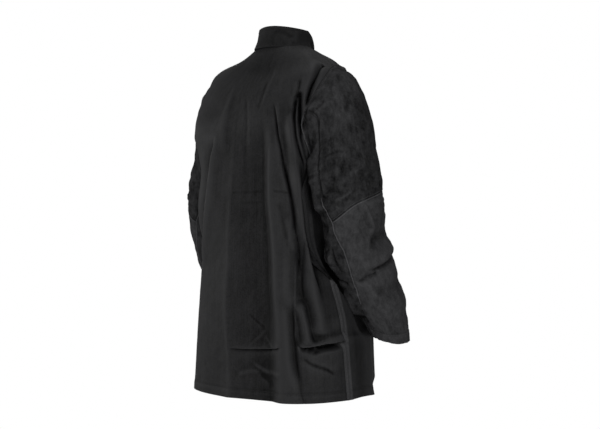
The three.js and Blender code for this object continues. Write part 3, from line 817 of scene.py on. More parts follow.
@dataclass(frozen=True)
class CollarForm(Form):
    """The stand-up collar by degrees from the nape and share of its height."""

    body: BodyForm = BodyForm()
    nape: float = 44.0
    chin: float = 30.0
    lap: float = 5.0
    lean: float = 0.16
    narrowing: float = 0.05
    clear: float = 1.5
    flare: float = 2.5
    foot: float = 0.28
    gape: float = 4.5
    gape_deg: float = 24.0
    gape_spread: float = 30.0
    crumples: tuple[Ripple, ...] = (Ripple(0.7, 22, 20, 31), Ripple(0.3, 9, 9, 32))
    groove: float = 0.4
    groove_at: float = 38.0
    groove_width: float = 1.6
    scale: Pair = (1.1, 44.0)
    folds: tuple[Fold, ...] = (
        Fold(Roll.SOFT, ((-10, 0.60), (-28, 0.78), (-46, 0.66), (-60, 0.36)), -2.6, 7),
        Fold(Roll.SOFT, ((-16, 0.28), (-40, 0.40), (-60, 0.14)), 1.8, 8),
        Fold(Roll.SOFT, ((30, 0.30), (10, 0.42), (-14, 0.38)), 1.2, 8),
        Fold(Roll.SOFT, ((-60, 0.2), (-66, 0.9)), 2, 9),
        Fold(Roll.SOFT, ((90, 0.3), (120, 0.6)), -2, 12),
        Fold(Roll.SOFT, ((-100, 0.6), (-125, 0.3)), -2, 12),
    )

    def plain(self, deg: Array, share: Array) -> Array:
        """The neck ring carried up, leaning forward and narrowing, its foot flared and lapped.

        Args:
            deg: Degrees from the nape.
            share: Share of the height, from the foot.

        Returns:
            Points in millimetres.
        """
        angle = np.radians(deg)
        ring = self.body.plain(deg, np.ones_like(share))
        height = mix(self.chin, self.nape, (0.5 + 0.5 * np.cos(angle)) ** 2)
        rise = mix(-self.lap, height, share)
        gape = self.gape * bell(deg - self.gape_deg, self.gape_spread)
        out = self.clear + (self.flare + gape) * bell(share, self.foot)
        x = (ring[..., 0] + out * np.sin(angle)) * (1 - self.narrowing * share)
        y = ring[..., 1] + out * np.cos(angle) - self.lean * rise
        return np.stack([x, y, ring[..., 2] + rise], -1)

    def relief(self, deg: Array, share: Array) -> Array:
        """Small crumples, with a sunk stitch line near the top.

        Args:
            deg: Degrees from the nape.
            share: Share of the height.

        Returns:
            Heights out of the collar.
        """
        u, v = np.moveaxis(self.flat(deg, share), -1, 0)
        crumple = sum(layer.at(u, v) for layer in self.crumples)
        return crumple - self.groove * bell(v - self.groove_at, self.groove_width)


# ---------------------------------------------------------------- meshes


class Edge(Enum):
    """Which edge of a panel's grid."""

    FIRST_COLUMN = 0
    LAST_COLUMN = 1
    FIRST_ROW = 2
    LAST_ROW = 3


def add_object(name: str, points: Array, faces: list[Array], smooth: bool = True) -> Piece:
    """Makes a mesh object at the origin.

    Args:
        name: The piece's name.
        points: Vertices in millimetres.
        faces: Arrays of quads, or of polygons with more corners.
        smooth: Whether faces are shaded smooth, with rims left sharp.

    Returns:
        The object, linked to the scene.
    """
    mesh = bpy.data.meshes.new(name)
    mesh.from_pydata((points * MM).tolist(), [], [f for group in faces for f in group.tolist()])
    if smooth:
        mesh.shade_smooth()
        mesh.set_sharp_from_angle(angle=np.radians(SHARP_DEG))
    mesh.validate()
    made = bpy.data.objects.new(name, mesh)
    bpy.context.scene.collection.objects.link(made)
    return made


def ring_walls(ring: Array) -> Array:
    """Quads between each ring of vertex numbers and the next one."""
    after = np.roll(ring, -1, axis=1)
    return np.stack([ring[:-1], after[:-1], after[1:], ring[1:]], -1).reshape(-1, 4)


def triangles(made: Piece) -> int:
    """How many triangles a piece has."""
    return sum(len(face.vertices) - 2 for face in made.data.polygons)


@dataclass
class Panel:
    """A grid of points on a panel's outer face, columns across and rows along."""

    points: Array
    flat: Array
    mirrored: bool = False
    # reaches and sizes of the painted shade in hollows and painted highlight on ridges
    relief_shade_reaches = ((2, 1.0), (5, 5.0), (16, 14.0))

    def facing(self) -> Array:
        """Outward directions: along cross across, turned round on a mirrored panel."""
        across, along = np.gradient(self.points, axis=0), np.gradient(self.points, axis=1)
        return unit(np.cross(along, across)) * (-1 if self.mirrored else 1)

    def line_in(self, edge: Edge, distance: float) -> Arrays:
        """A line on the panel that keeps a distance from one of its edges.

        Args:
            edge: The edge it follows.
            distance: How far in from it.

        Returns:
            The line's points and the outward directions there.
        """
        points, out = self.points, self.facing()
        if edge in (Edge.FIRST_ROW, Edge.LAST_ROW):
            points, out = points.swapaxes(0, 1), out.swapaxes(0, 1)
        if edge in (Edge.LAST_COLUMN, Edge.LAST_ROW):
            points, out = points[::-1], out[::-1]
        steps = np.linalg.norm(np.diff(points, axis=0), axis=2)
        arc = np.concatenate([np.zeros((1, points.shape[1])), np.cumsum(steps, axis=0)])
        k = np.clip((arc < distance).sum(0) - 1, 0, len(steps) - 1)
        j = np.arange(points.shape[1])
        part = ((distance - arc[k, j]) / np.maximum(steps[k, j], TINY))[:, None]
        return mix(points[k, j], points[k + 1, j], part), unit(mix(out[k, j], out[k + 1, j], part))

    def painted_relief_shade(self) -> Array:
        """Painted shade and highlight: how far each point stands out, below 0 in a hollow, where it darkens
        the colour as painted shade, and above 0 on a ridge, where it lightens it as a painted highlight.

        It is half the sum, over three reaches, of the hyperbolic tangent of the outward distance
        from the middle of four neighbours at that reach, over a size.

        Returns:
            A value for each point of the grid.
        """
        out, total = self.facing(), np.zeros(self.points.shape[:2])
        for reach, size in self.relief_shade_reaches:
            sides = ((reach, reach), (reach, reach), (0, 0))
            padded = np.pad(self.points, sides, "reflect", reflect_type="odd")
            inner = slice(reach, -reach)
            around = (padded[2 * reach:, inner] + padded[:-2 * reach, inner]
                      + padded[inner, 2 * reach:] + padded[inner, :-2 * reach]) / 4
            total += np.tanh(((self.points - around) * out).sum(-1) / size) / 2
        return total

    def build(self, name: str, thickness: float) -> Piece:
        """Makes the closed wall: the outer face, the same grid behind it, and rims between.

        Args:
            name: The piece's name.
            thickness: The wall's thickness.

        Returns:
            The piece, with the flat cloth's places in metres as its UV map.
        """
        columns, rows = self.points.shape[:2]
        index = np.arange(columns * rows).reshape(columns, rows)
        inner = index + columns * rows
        behind = self.points - self.facing() * thickness
        points = np.concatenate([self.points.reshape(-1, 3), behind.reshape(-1, 3)])
        quads = [
            np.stack([index[:-1, :-1], index[:-1, 1:], index[1:, 1:], index[1:, :-1]], -1),
            np.stack([inner[:-1, :-1], inner[1:, :-1], inner[1:, 1:], inner[:-1, 1:]], -1),
            np.stack([index[1:, 0], inner[1:, 0], inner[:-1, 0], index[:-1, 0]], -1),
            np.stack([index[:-1, -1], inner[:-1, -1], inner[1:, -1], index[1:, -1]], -1),
            np.stack([index[0, :-1], inner[0, :-1], inner[0, 1:], index[0, 1:]], -1),
            np.stack([index[-1, 1:], inner[-1, 1:], inner[-1, :-1], index[-1, :-1]], -1),
        ]
        faces = np.concatenate([quad.reshape(-1, 4) for quad in quads])
        made = add_object(name, points, [faces[:, ::-1] if self.mirrored else faces])
        places = np.tile(self.flat.reshape(-1, 2), (2, 1)) * MM
        corners = np.empty(len(made.data.loops), np.int32)
        made.data.loops.foreach_get("vertex_index", corners)
        layer = made.data.uv_layers.new(name="flat")
        layer.data.foreach_set("uv", places[corners].astype(np.float32).ravel())
        # painted shade in hollows and painted highlight on ridges, which the finishes add to their base
        # colour
        relief_shade_fac = made.data.attributes.new("painted_relief_shade", "FLOAT", "POINT")
        relief_shade_fac.data.foreach_set("value", np.tile(self.painted_relief_shade().ravel(), 2).astype(np.float32))
        return made


@dataclass(frozen=True)
class Stitching:
    """Rows of stitches, each a small capsule that lies along a line on a panel."""

    length: float = 2.7
    space: float = 1.1
    radius: float = 0.42
    sides: int = 5
    rings = ((0, 0.45, 0.9), (0.22, 1, 0), (0.78, 1, 0), (1, 0.45, 0.9))
    lift = 0.5

    def build(self, name: str, lines: Iterable[Arrays]) -> Piece:
        """Makes all stitches of some lines as one piece.

        A stitch is four rings of a small polygon, each at a share of its length with a size and
        a depth; the end ones are drawn in and down.

        Args:
            name: The piece's name.
            lines: Points and outward directions of each line.

        Returns:
            The piece.
        """
        parts = zip(*(self.places(*line) for line in lines))
        starts, ends, outs = (np.concatenate(part) for part in parts)
        way = ends - starts
        side = unit(np.cross(unit(way), outs))
        turn = circle(self.sides)[:, None, None]
        round_ = np.cos(turn) * outs + np.sin(turn) * side
        rings = [starts + way * at + round_ * self.radius * size - outs * self.radius * sink
                 for at, size, sink in self.rings]
        points = np.stack(rings).transpose(2, 0, 1, 3).reshape(-1, 3)
        ring = np.arange(len(rings) * self.sides).reshape(len(rings), self.sides)
        base = (np.arange(len(starts)) * ring.size)[:, None, None]
        caps = np.stack([ring[0, ::-1], ring[-1]])
        faces = [(ring_walls(ring) + base).reshape(-1, 4), (caps + base).reshape(-1, self.sides)]
        return add_object(name, points, faces)

    def places(self, line: Array, out: Array) -> tuple[Array, Array, Array]:
        """Where the stitches of a line lie, spaced evenly along it.

        Args:
            line: The line's points.
            out: Outward directions there.

        Returns:
            Start, end and outward direction of each stitch.
        """
        arc = arc_length(line)
        first = np.arange(self.space, arc[-1] - self.length - self.space, self.length + self.space)
        start, end = (np.stack([np.interp(first + move, arc, line[:, k]) for k in range(3)], -1)
                      for move in (0.0, self.length))
        middle = first + self.length / 2
        up = unit(np.stack([np.interp(middle, arc, out[:, k]) for k in range(3)], -1))
        lift = up * self.radius * self.lift
        return start + lift, end + lift, up


@dataclass(frozen=True)
class Welting:
    """Raised seam edges: a round profile carried along lines, with thin closed ends."""

    radius: float = 1.35
    sides: int = 8
    taper: int = 6
    end: float = 0.3

    def build(self, name: str, lines: Iterable[Arrays]) -> Piece:
        """Makes the edges of some lines as one piece.

        A ring's points are the line's point plus radius (cos out + sin sideways).

        Args:
            name: The piece's name.
            lines: Points and outward directions of each line.

        Returns:
            The piece.
        """
        points, walls, caps, base = [], [], [], 0
        turn = circle(self.sides)[None, :, None]
        for line, out in lines:
            side = unit(np.cross(unit(np.gradient(line, axis=0)), out))
            count = np.arange(len(line))
            size = self.radius * np.minimum(1, np.minimum(count, count[::-1]) / self.taper + self.end)
            round_ = np.cos(turn) * out[:, None] + np.sin(turn) * side[:, None]
            points.append((line[:, None] + round_ * size[:, None, None]).reshape(-1, 3))
            ring = base + np.arange(len(line) * self.sides).reshape(len(line), self.sides)
            walls.append(ring_walls(ring))
            caps.append(np.stack([ring[0, ::-1], ring[-1]]))
            base += ring.size
        return add_object(name, np.concatenate(points), [*walls, *caps])


# ---------------------------------------------------------------- finishes


class Graph:
    """Adds and joins nodes in one node tree."""

    def __init__(self, tree: Tree) -> None:
        """Starts on a tree."""
        self.tree = tree

    def add(self, kind: str, inputs: dict[str | int, object] | None = None,
            **settings: object) -> Node:
        """Adds a node.

        Args:
            kind: The node's type.
            inputs: Values or output sockets for its input sockets, by name or number.
            settings: The node's own properties.

        Returns:
            The node.
        """
        node = self.tree.nodes.new(kind)
        for name, value in settings.items():
            setattr(node, name, value)
        for key, value in (inputs or {}).items():
            if isinstance(value, Socket):
                self.tree.links.new(value, node.inputs[key])
            else:
                node.inputs[key].default_value = value
        return node

    def math(self, operation: str, a: Socket, b: Socket | float, clamp: bool = False) -> Socket:
        """Adds a sum, difference or product.

        Args:
            operation: Which of them, by the node's word.
            a: The first value.
            b: The second value.
            clamp: Whether the result stays from 0 to 1.

        Returns:
            The result's socket.
        """
        return self.add("ShaderNodeMath", {0: a, 1: b}, operation=operation, use_clamp=clamp).outputs[0]

    def sum(self, *terms: Socket) -> Socket:
        """Adds up value sockets.

        Args:
            terms: The sockets.

        Returns:
            The sum's socket.
        """
        total = terms[0]
        for term in terms[1:]:
            total = self.math("ADD", total, term)
        return total


class Effects:
    """The node groups that the finishes share, each made once."""

    rib_share = 0.35

    @staticmethod
    def start(name: str, inputs: dict[str, str],
              output: str) -> tuple[Tree, Graph, dict[str, Socket]]:
        """Starts a group.

        Args:
            name: The group's name.
            inputs: Type of each named input socket.
            output: Name of its value output.

        Returns:
            The group, a graph on it, and its input sockets by name.
        """
        group = bpy.data.node_groups.new(name, "ShaderNodeTree")
        for socket, kind in inputs.items():
            group.interface.new_socket(socket, in_out="INPUT", socket_type=kind)
        group.interface.new_socket(output, in_out="OUTPUT", socket_type="NodeSocketFloat")
        graph = Graph(group)
        given = graph.add("NodeGroupInput")
        return group, graph, {socket: given.outputs[socket] for socket in inputs}

    @classmethod
    def mottle(cls) -> Tree:
        """Patches: noise at a scale, centred on zero and multiplied by an amount.

        Returns:
            The group.
        """
        if "mottle" in bpy.data.node_groups:
            return bpy.data.node_groups["mottle"]
        kinds = {"Vector": "NodeSocketVector", "Scale": "NodeSocketFloat", "Amount": "NodeSocketFloat"}
        group, graph, given = cls.start("mottle", kinds, "Shade")
        noise = graph.add("ShaderNodeTexNoise", {"Vector": given["Vector"], "Scale": given["Scale"],
                                                 "Detail": 4.0, "Roughness": 0.6})
        level = graph.math("SUBTRACT", noise.outputs["Fac"], 0.5)
        graph.add("NodeGroupOutput", {"Shade": graph.math("MULTIPLY", level, given["Amount"])})
        return group

    @classmethod
    def twill(cls) -> Tree:
        """Weave: slanting ridges over the flat cloth, broken by cross ribs.

        Returns:
            The group.
        """
        if "twill" in bpy.data.node_groups:
            return bpy.data.node_groups["twill"]
        kinds = {"Vector": "NodeSocketVector", "Scale": "NodeSocketFloat"}
        group, graph, given = cls.start("twill", kinds, "Height")
        slant = graph.add("ShaderNodeTexWave", {"Vector": given["Vector"], "Scale": given["Scale"],
                                                "Distortion": 0.4, "Detail": 1.0}, bands_direction="DIAGONAL")
        cross = graph.add("ShaderNodeTexWave", {"Vector": given["Vector"], "Scale": given["Scale"]},
                          bands_direction="Y")
        part = graph.math("MULTIPLY", cross.outputs["Fac"], cls.rib_share)
        graph.add("NodeGroupOutput", {"Height": graph.sum(slant.outputs["Fac"], part)})
        return group


@dataclass(frozen=True)
class Finish:
    """What all finishes hold: a name, a record slot, and darkest and lightest colour."""

    name: str
    slot: str
    dark: tuple[float, float, float]
    light: tuple[float, float, float]
    roughness: float = 0.85
    specular: float = 0.2
    # how strongly the painted shade of hollows and painted highlight of ridges enter the colour
    painted_relief_shade: float = 0.0
    base: float = 0.5
    bump_strength = 0.8

    def start(self) -> tuple[Material, Graph, Node]:
        """Starts a material.

        Returns:
            The material, its graph and its shader.
        """
        material = bpy.data.materials.new(self.name)
        material.use_nodes = True
        graph = Graph(material.node_tree)
        shader = material.node_tree.nodes["Principled BSDF"]
        shader.inputs["Roughness"].default_value = self.roughness
        shader.inputs["Specular IOR Level"].default_value = self.specular
        return material, graph, shader

    def colour(self, graph: Graph, shader: Node, terms: list[Socket]) -> None:
        """Feeds the base colour: dark to light by its base plus the shades, with hollows darkened as painted
        shade and ridges lightened as painted highlight.

        Args:
            graph: The material's graph.
            shader: Its shader.
            terms: The shades.
        """
        # hollows darkened as painted shade, ridges lightened as painted highlight
        if self.painted_relief_shade:
            relief_shade_fac = graph.add("ShaderNodeAttribute", attribute_name="painted_relief_shade").outputs["Fac"]
            terms = [*terms, graph.math("MULTIPLY", relief_shade_fac, self.painted_relief_shade)]
        part = graph.math("ADD", graph.sum(*terms), self.base, clamp=True)
        blend = graph.add("ShaderNodeMix", data_type="RGBA")
        sockets = [s for s in blend.inputs if s.name in ("A", "B") and s.type == "RGBA"]
        sockets[0].default_value, sockets[1].default_value = (*self.dark, 1), (*self.light, 1)
        graph.tree.links.new(part, blend.inputs[0])
        result = next(s for s in blend.outputs if s.type == "RGBA")
        graph.tree.links.new(result, shader.inputs["Base Color"])

    @staticmethod
    def mottle(graph: Graph, vector: Socket, patches: Pair) -> Socket:
        """Adds a mottle group.

        Args:
            graph: The material's graph.
            vector: Where the pattern is read.
            patches: Its scale to the metre, and its amount.

        Returns:
            The shade.
        """
        node = graph.add("ShaderNodeGroup", node_tree=Effects.mottle())
        graph.tree.links.new(vector, node.inputs["Vector"])
        node.inputs["Scale"].default_value, node.inputs["Amount"].default_value = patches
        return node.outputs["Shade"]

    def bump(self, graph: Graph, shader: Node, height: Socket, depth: float) -> None:
        """Feeds the normal with a bump.

        Args:
            graph: The material's graph.
            shader: Its shader.
            height: The relief.
            depth: Its depth in metres.
        """
        inputs = {"Height": height, "Distance": depth, "Strength": self.bump_strength}
        node = graph.add("ShaderNodeBump", inputs)
        graph.tree.links.new(node.outputs["Normal"], shader.inputs["Normal"])

    def make(self) -> Material:
        """Makes a plain material in the light colour.

        Returns:
            The material.
        """
        material, _, shader = self.start()
        shader.inputs["Base Color"].default_value = (*self.light, 1)
        return material


@dataclass(frozen=True)
class TwillFinish(Finish):
    """Dark twill: slubs along the cloth, soft patches and a fine slanting weave."""

    weave: float = 900.0
    depth: float = 0.00003
    slubs: Pair = (300.0, 0.6)
    slub_stretch: float = 0.03
    patches: Pair = (14.0, 0.6)
    specks: Pair = (420.0, 1.2)

    def make(self) -> Material:
        """Makes the material, patterned over the flat cloth.

        Returns:
            The material.
        """
        material, graph, shader = self.start()
        places = graph.add("ShaderNodeUVMap", uv_map="flat").outputs[0]
        solid = graph.add("ShaderNodeTexCoord").outputs["Object"]
        stretch = {"Vector": places, "Scale": (1, self.slub_stretch, 1)}
        long = graph.add("ShaderNodeMapping", stretch).outputs[0]
        pairs = ((long, self.slubs), (solid, self.patches), (solid, self.specks))
        self.colour(graph, shader, [self.mottle(graph, *pair) for pair in pairs])
        weave = graph.add("ShaderNodeGroup", node_tree=Effects.twill())
        graph.tree.links.new(places, weave.inputs["Vector"])
        weave.inputs["Scale"].default_value = self.weave
        self.bump(graph, shader, weave.outputs["Height"], self.depth)
        return material


@dataclass(frozen=True)
class SuedeFinish(Finish):
    """Split leather: blotches of brushed nap and a rough grain."""

    depth: float = 0.0007
    blotches: Pair = (22.0, 0.6)
    patches: Pair = (75.0, 0.55)
    strokes: Pair = (140.0, 0.55)
    stroke_turn: float = 0.7
    stroke_stretch: float = 0.35
    specks: Pair = (260.0, 0.6)
    nap: Bounds = ((700.0, 1.0), (180.0, 1.0))

    def make(self) -> Material:
        """Makes the material, patterned through the piece's own space.

        Returns:
            The material.
        """
        material, graph, shader = self.start()
        solid = graph.add("ShaderNodeTexCoord").outputs["Object"]
        places = graph.add("ShaderNodeUVMap", uv_map="flat").outputs[0]
        brush = {"Vector": places, "Rotation": (0, 0, self.stroke_turn), "Scale": (1, self.stroke_stretch, 1)}
        brushed = graph.add("ShaderNodeMapping", brush).outputs[0]
        pairs = ((solid, self.blotches), (solid, self.patches), (brushed, self.strokes), (solid, self.specks))
        self.colour(graph, shader, [self.mottle(graph, *pair) for pair in pairs])
        nap = graph.sum(*(self.mottle(graph, solid, layer) for layer in self.nap))
        self.bump(graph, shader, nap, self.depth)
        return material


def grey(level: float) -> tuple[float, float, float]:
    """A neutral dark grey with a trace of cool tone."""
    return level, level, level * COOL_TONE


# the relief amounts below paint shade into hollows and highlight onto ridges
TWILL = TwillFinish("dark_twill", "body_cloth", grey(0.001), grey(0.021), 0.62, 0.1, painted_relief_shade=0.8)
COLLAR_TWILL = TwillFinish("collar_twill", "body_cloth", grey(0.001), grey(0.012), 0.62, 0.1, painted_relief_shade=0.8)
FELLED_TWILL = TwillFinish("felled_twill", "body_cloth", grey(0.012), grey(0.052), 0.65, 0.1, painted_relief_shade=0.3)
SUEDE = SuedeFinish("dark_suede", "sleeve_suede", grey(0.0005), grey(0.0475), 0.95, 0.05, painted_relief_shade=0.3, base=0.29)
PALE_SUEDE = SuedeFinish("forearm_suede", "sleeve_suede", grey(0.0155), grey(0.0594), 0.95, 0.05, painted_relief_shade=0.25,
                         base=0.33)
SUEDE_EDGE = SuedeFinish("cut_suede_edge", "sleeve_suede", grey(0.03), grey(0.085), 0.95, 0.05)
CLOTH_THREAD = Finish("cloth_thread", "body_cloth", grey(0.012), grey(0.018), 0.8)
SUEDE_THREAD = Finish("suede_thread", "sleeve_suede", grey(0.02), grey(0.045), 0.7)
DARK_THREAD = Finish("dark_thread", "sleeve_suede", grey(0.002), grey(0.003), 0.8)
SNAP_CAP = Finish("dark_snap_cap", "snap_metal", grey(0.02), grey(0.03), 0.35, 0.5)
PALE_FLOOR = Finish("pale_floor", "", grey(0.8), (0.86, 0.86, 0.86), 0.9)


class Wardrobe:
    """Dresses finished pieces and tells the frame about them."""

    def __init__(self) -> None:
        """Makes no material until one is asked for."""
        self.materials: dict[str, Material] = {}

    def dress(self, piece: Piece, finish: Finish, node: str | None = None) -> Piece:
        """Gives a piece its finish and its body.

        Args:
            piece: The piece.
            finish: Its finish.
            node: The CAD node that it stands for, if any.

        Returns:
            The piece.
        """
        if finish.name not in self.materials:
            self.materials[finish.name] = finish.make()
        piece.data.materials.append(self.materials[finish.name])
        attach(piece, ROOT)
        if node:
            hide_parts(node)
        LOG.info("%s: %d triangles, %s", piece.name, triangles(piece), finish.name)
        return piece

    def sew(self, name: str, lines: Iterable[Arrays], finish: Finish = CLOTH_THREAD,
            stitching: Stitching = Stitching()) -> None:
        """Adds rows of stitches as one piece.

        Args:
            name: The piece's name.
            lines: Points and outward directions of each row.
            finish: The thread.
            stitching: The stitches' sizes.
        """
        self.dress(stitching.build(name, lines), finish)


# ---------------------------------------------------------------- sub-assemblies


@dataclass(frozen=True)
class Cut:
    """A panel's flat cut: the cloth's width and length, and the part of them that it fills."""

    width: float
    length: float
    area: float


def crowd(steps: int, peaks: Peaks) -> Array:
    """Places from -1 to 1 that stand closer together at some peaks.

    The density is 1 plus a bell of (place, spread, height) for each peak; places are even
    steps of its running sum.

    Args:
        steps: Number of gaps.
        peaks: Place, spread and height of each bell.

    Returns:
        The places.
    """
    fine = np.linspace(-1, 1, FINE_STEPS + 1)
    density = 1 + sum(height * bell(fine - place, spread) for place, spread, height in peaks)
    run = np.cumsum(density)
    return np.interp(np.linspace(run[0], run[-1], steps + 1), run, fine)


@dataclass
class ClothBody:
    """The cloth back and fronts with their felled side strips."""

    form: BodyForm
    wardrobe: Wardrobe
    wall: float = 1.6
    low_rows: int = 164
    ring_rows: int = 60
    top_rows: int = 24
    back_columns: int = 192
    front_columns: int = 64
    row_peaks: Peaks = ((-0.53, 0.05, 1.6), (0.73, 0.05, 0.6))
    column_peaks: Peaks = ((-0.95, 0.08, 3.0), (-0.72, 0.14, 1.8), (0.66, 0.1, 0.4))
    front_deg: float = 179.9
    shoulder_in: float = 5.0
    strip_columns: int = 8
    strip_half: float = 7.5
    strip_clear: float = 1.0
    strip_lift: float = 1.3
    strip_power: int = 6
    strip_wall: float = 1.2
    strip_in: float = 1.8
    back_cut: Cut = Cut(0.56, 0.80, 0.36)
    front_cut: Cut = Cut(0.36, 0.78, 0.21)
    strip_cut: Cut = Cut(0.018, 0.55, 0.0098)
    panels: dict[str, Panel] = field(default_factory=dict)

    def shares(self) -> Array:
        """Shares of the rows: crowded below the armpit, by the ring's angle beside it, even above.

        Returns:
            The shares, rising.
        """
        hole = self.form.armhole
        turn = np.linspace(0, np.pi, self.ring_rows + 1)
        ring = mix(hole.armpit, hole.shoulder, 0.5 - 0.5 * np.cos(turn))
        low = hole.armpit * (crowd(self.low_rows, self.row_peaks) + 1) / 2
        top = np.linspace(hole.shoulder, 1, self.top_rows + 1)
        return np.concatenate([low, ring[1:], top[1:]])

    def panel(self, deg: Array, share: Array) -> Panel:
        """The draped panel over a grid of degrees and shares."""
        return Panel(self.form.drape(deg, share), self.form.flat(deg, share))

    def build(self) -> None:
        """Makes the back, the fronts and the side strips, and dresses them."""
        shares = self.shares()
        back, front = self.form.armhole.edges(shares)
        places = crowd(self.back_columns, self.column_peaks)
        grid = np.broadcast_to(shares, (len(places), len(shares)))
        self.panels["back_panel"] = self.panel(places[:, None] * back, grid)
        part = np.linspace(0, 1, self.front_columns + 1)[:, None]
        grid = np.broadcast_to(shares, (len(part), len(shares)))
        self.panels["front_left"] = self.panel(mix(front, self.front_deg, part), grid)
        self.panels["front_right"] = self.panel(mix(-self.front_deg, -front, part), grid)
        for name, panel in self.panels.items():
            piece = self.wardrobe.dress(panel.build(f"{name}_cloth", self.wall), TWILL, name)
        low = shares[: self.low_rows + 1]
        for side, name in ((1, "left"), (-1, "right")):
            self.build_strip(side, name, low)
        self.build_stitches()

    def build_strip(self, side: int, name: str, shares: Array) -> None:
        """Makes a felled strip: the surface about the side seam, lifted, its edges eased down.

        Args:
            side: 1 for the left, -1 for the right.
            name: The side's name.
            shares: Shares of its rows.
        """
        across = np.linspace(-1, 1, self.strip_columns + 1)[:, None]
        seam = side * self.form.armhole.edges(shares)[0]
        deg = seam + across * self.strip_half / self.form.scale[0]
        panel = self.panel(deg, np.broadcast_to(shares, deg.shape))
        lift = self.strip_lift * (1 - across**self.strip_power) + self.strip_clear
        panel.points = panel.points + panel.facing() * lift[..., None]
        piece = panel.build(f"side_strip_{name}_cloth", self.strip_wall)
        self.wardrobe.dress(piece, FELLED_TWILL, f"side_strip_{name}")
        edges = Edge.FIRST_COLUMN, Edge.LAST_COLUMN
        lines = [panel.line_in(edge, self.strip_in) for edge in edges]
        self.wardrobe.sew(f"side_strip_{name}_stitches", lines)

    def build_stitches(self) -> None:
        """Stitches the hem and both sides of the shoulder seams."""
        hems = [panel.line_in(Edge.FIRST_ROW, self.form.hem.width) for panel in self.panels.values()]
        self.wardrobe.sew("hem_stitches", hems)
        above = slice(self.low_rows + self.ring_rows, None)
        lines = []
        for name, edges in (("back_panel", (Edge.FIRST_COLUMN, Edge.LAST_COLUMN)),
                            ("front_left", (Edge.FIRST_COLUMN,)), ("front_right", (Edge.LAST_COLUMN,))):
            for edge in edges:
                line, out = self.panels[name].line_in(edge, self.shoulder_in)
                lines.append((line[above], out[above]))
        self.wardrobe.sew("shoulder_stitches", lines)


@dataclass
class FrontClosure:
    """The flap over the front opening and the snap caps that hold it."""

    form: BodyForm
    wardrobe: Wardrobe
    half: float = 28.0
    ends: Pair = (0.006, 0.975)
    columns: int = 24
    rows: int = 180
    lift: float = 2.6
    wall: float = 1.6
    stitch_in: float = 6.0
    snap_shares: tuple[float, ...] = (0.10, 0.29, 0.48, 0.67, 0.86)
    snap_radius: float = 7.5
    snap_height: float = 2.6
    snap_sides: int = 32
    snap_profile: tuple[Pair, ...] = ((0.92, -0.3), (1.0, 0.15), (0.97, 0.5), (0.85, 0.75), (0.6, 0.93),
                                      (0.3, 1.0))
    cut: Cut = Cut(0.058, 0.74, 0.0415)

    def build(self) -> None:
        """Makes the flap, its stitches and the snaps."""
        across = np.linspace(-1, 1, self.columns + 1)[:, None]
        shares = np.linspace(*self.ends, self.rows + 1)
        turn = np.degrees(np.arctan(self.half / self.form.table.read("front", shares)))
        deg = 180 + across * turn
        grid = np.broadcast_to(shares, deg.shape)
        flat = [np.broadcast_to(across * self.half, deg.shape), grid * self.form.scale[1]]
        panel = Panel(self.form.drape(deg, grid), np.stack(flat, -1))
        panel.points = panel.points + panel.facing() * self.lift
        piece = self.wardrobe.dress(panel.build("front_flap_cloth", self.wall), TWILL, "front_flap")
        edges = Edge.FIRST_COLUMN, Edge.LAST_COLUMN
        self.wardrobe.sew("front_flap_stitches", [panel.line_in(edge, self.stitch_in) for edge in edges])
        rows = np.abs(shares[:, None] - self.snap_shares).argmin(0)
        middle = len(across) // 2
        for k, row in enumerate(rows, 1):
            self.build_snap(k, panel.points[middle, row], panel.facing()[middle, row])

    def build_snap(self, number: int, foot: Array, out: Array) -> None:
        """Makes one cap: a domed profile of radii and heights, turned about its axis.

        Args:
            number: Which snap, from the hem.
            foot: Where it stands on the flap.
            out: Its axis.
        """
        turn = circle(self.snap_sides)[:, None]
        side = unit(np.cross(out, (0, 0, 1)))
        round_ = np.cos(turn) * side + np.sin(turn) * np.cross(side, out)
        rings = [foot + round_ * self.snap_radius * radius + out * self.snap_height * height
                 for radius, height in self.snap_profile]
        points = np.concatenate([*rings, [foot + out * self.snap_height]])
        ring = np.arange(len(rings) * self.snap_sides).reshape(len(rings), self.snap_sides)
        walls = ring_walls(ring)[:, [0, 3, 2, 1]]
        tip = np.full(self.snap_sides, len(points) - 1)
        top = np.stack([ring[-1], tip, np.roll(ring[-1], -1)], -1)
        name = f"snap_{number}"
        self.wardrobe.dress(add_object(f"{name}_cap", points, [walls, top, ring[:1]]), SNAP_CAP, name)


@dataclass
class StandCollar:
    """The stand-up collar."""

    form: CollarForm
    wardrobe: Wardrobe
    wall: float = 3.0
    columns: int = 220
    rows: int = 36
    front_deg: float = 178.5
    top_in: float = 5.0
    foot_in: float = 3.0
    cut: Cut = Cut(0.44, 0.055, 0.019)

    def build(self) -> None:
        """Makes the collar and its stitches."""
        deg = np.linspace(-self.front_deg, self.front_deg, self.columns + 1)[:, None]
        share = np.linspace(0, 1, self.rows + 1)[None, :]
        deg, share = np.broadcast_arrays(deg, share)
        panel = Panel(self.form.drape(deg, share), self.form.flat(deg, share))
        piece = self.wardrobe.dress(panel.build("collar_cloth", self.wall), COLLAR_TWILL, "collar")
        rows = (Edge.LAST_ROW, self.top_in), (Edge.FIRST_ROW, self.foot_in)
        self.wardrobe.sew("collar_stitches", [panel.line_in(*row) for row in rows])


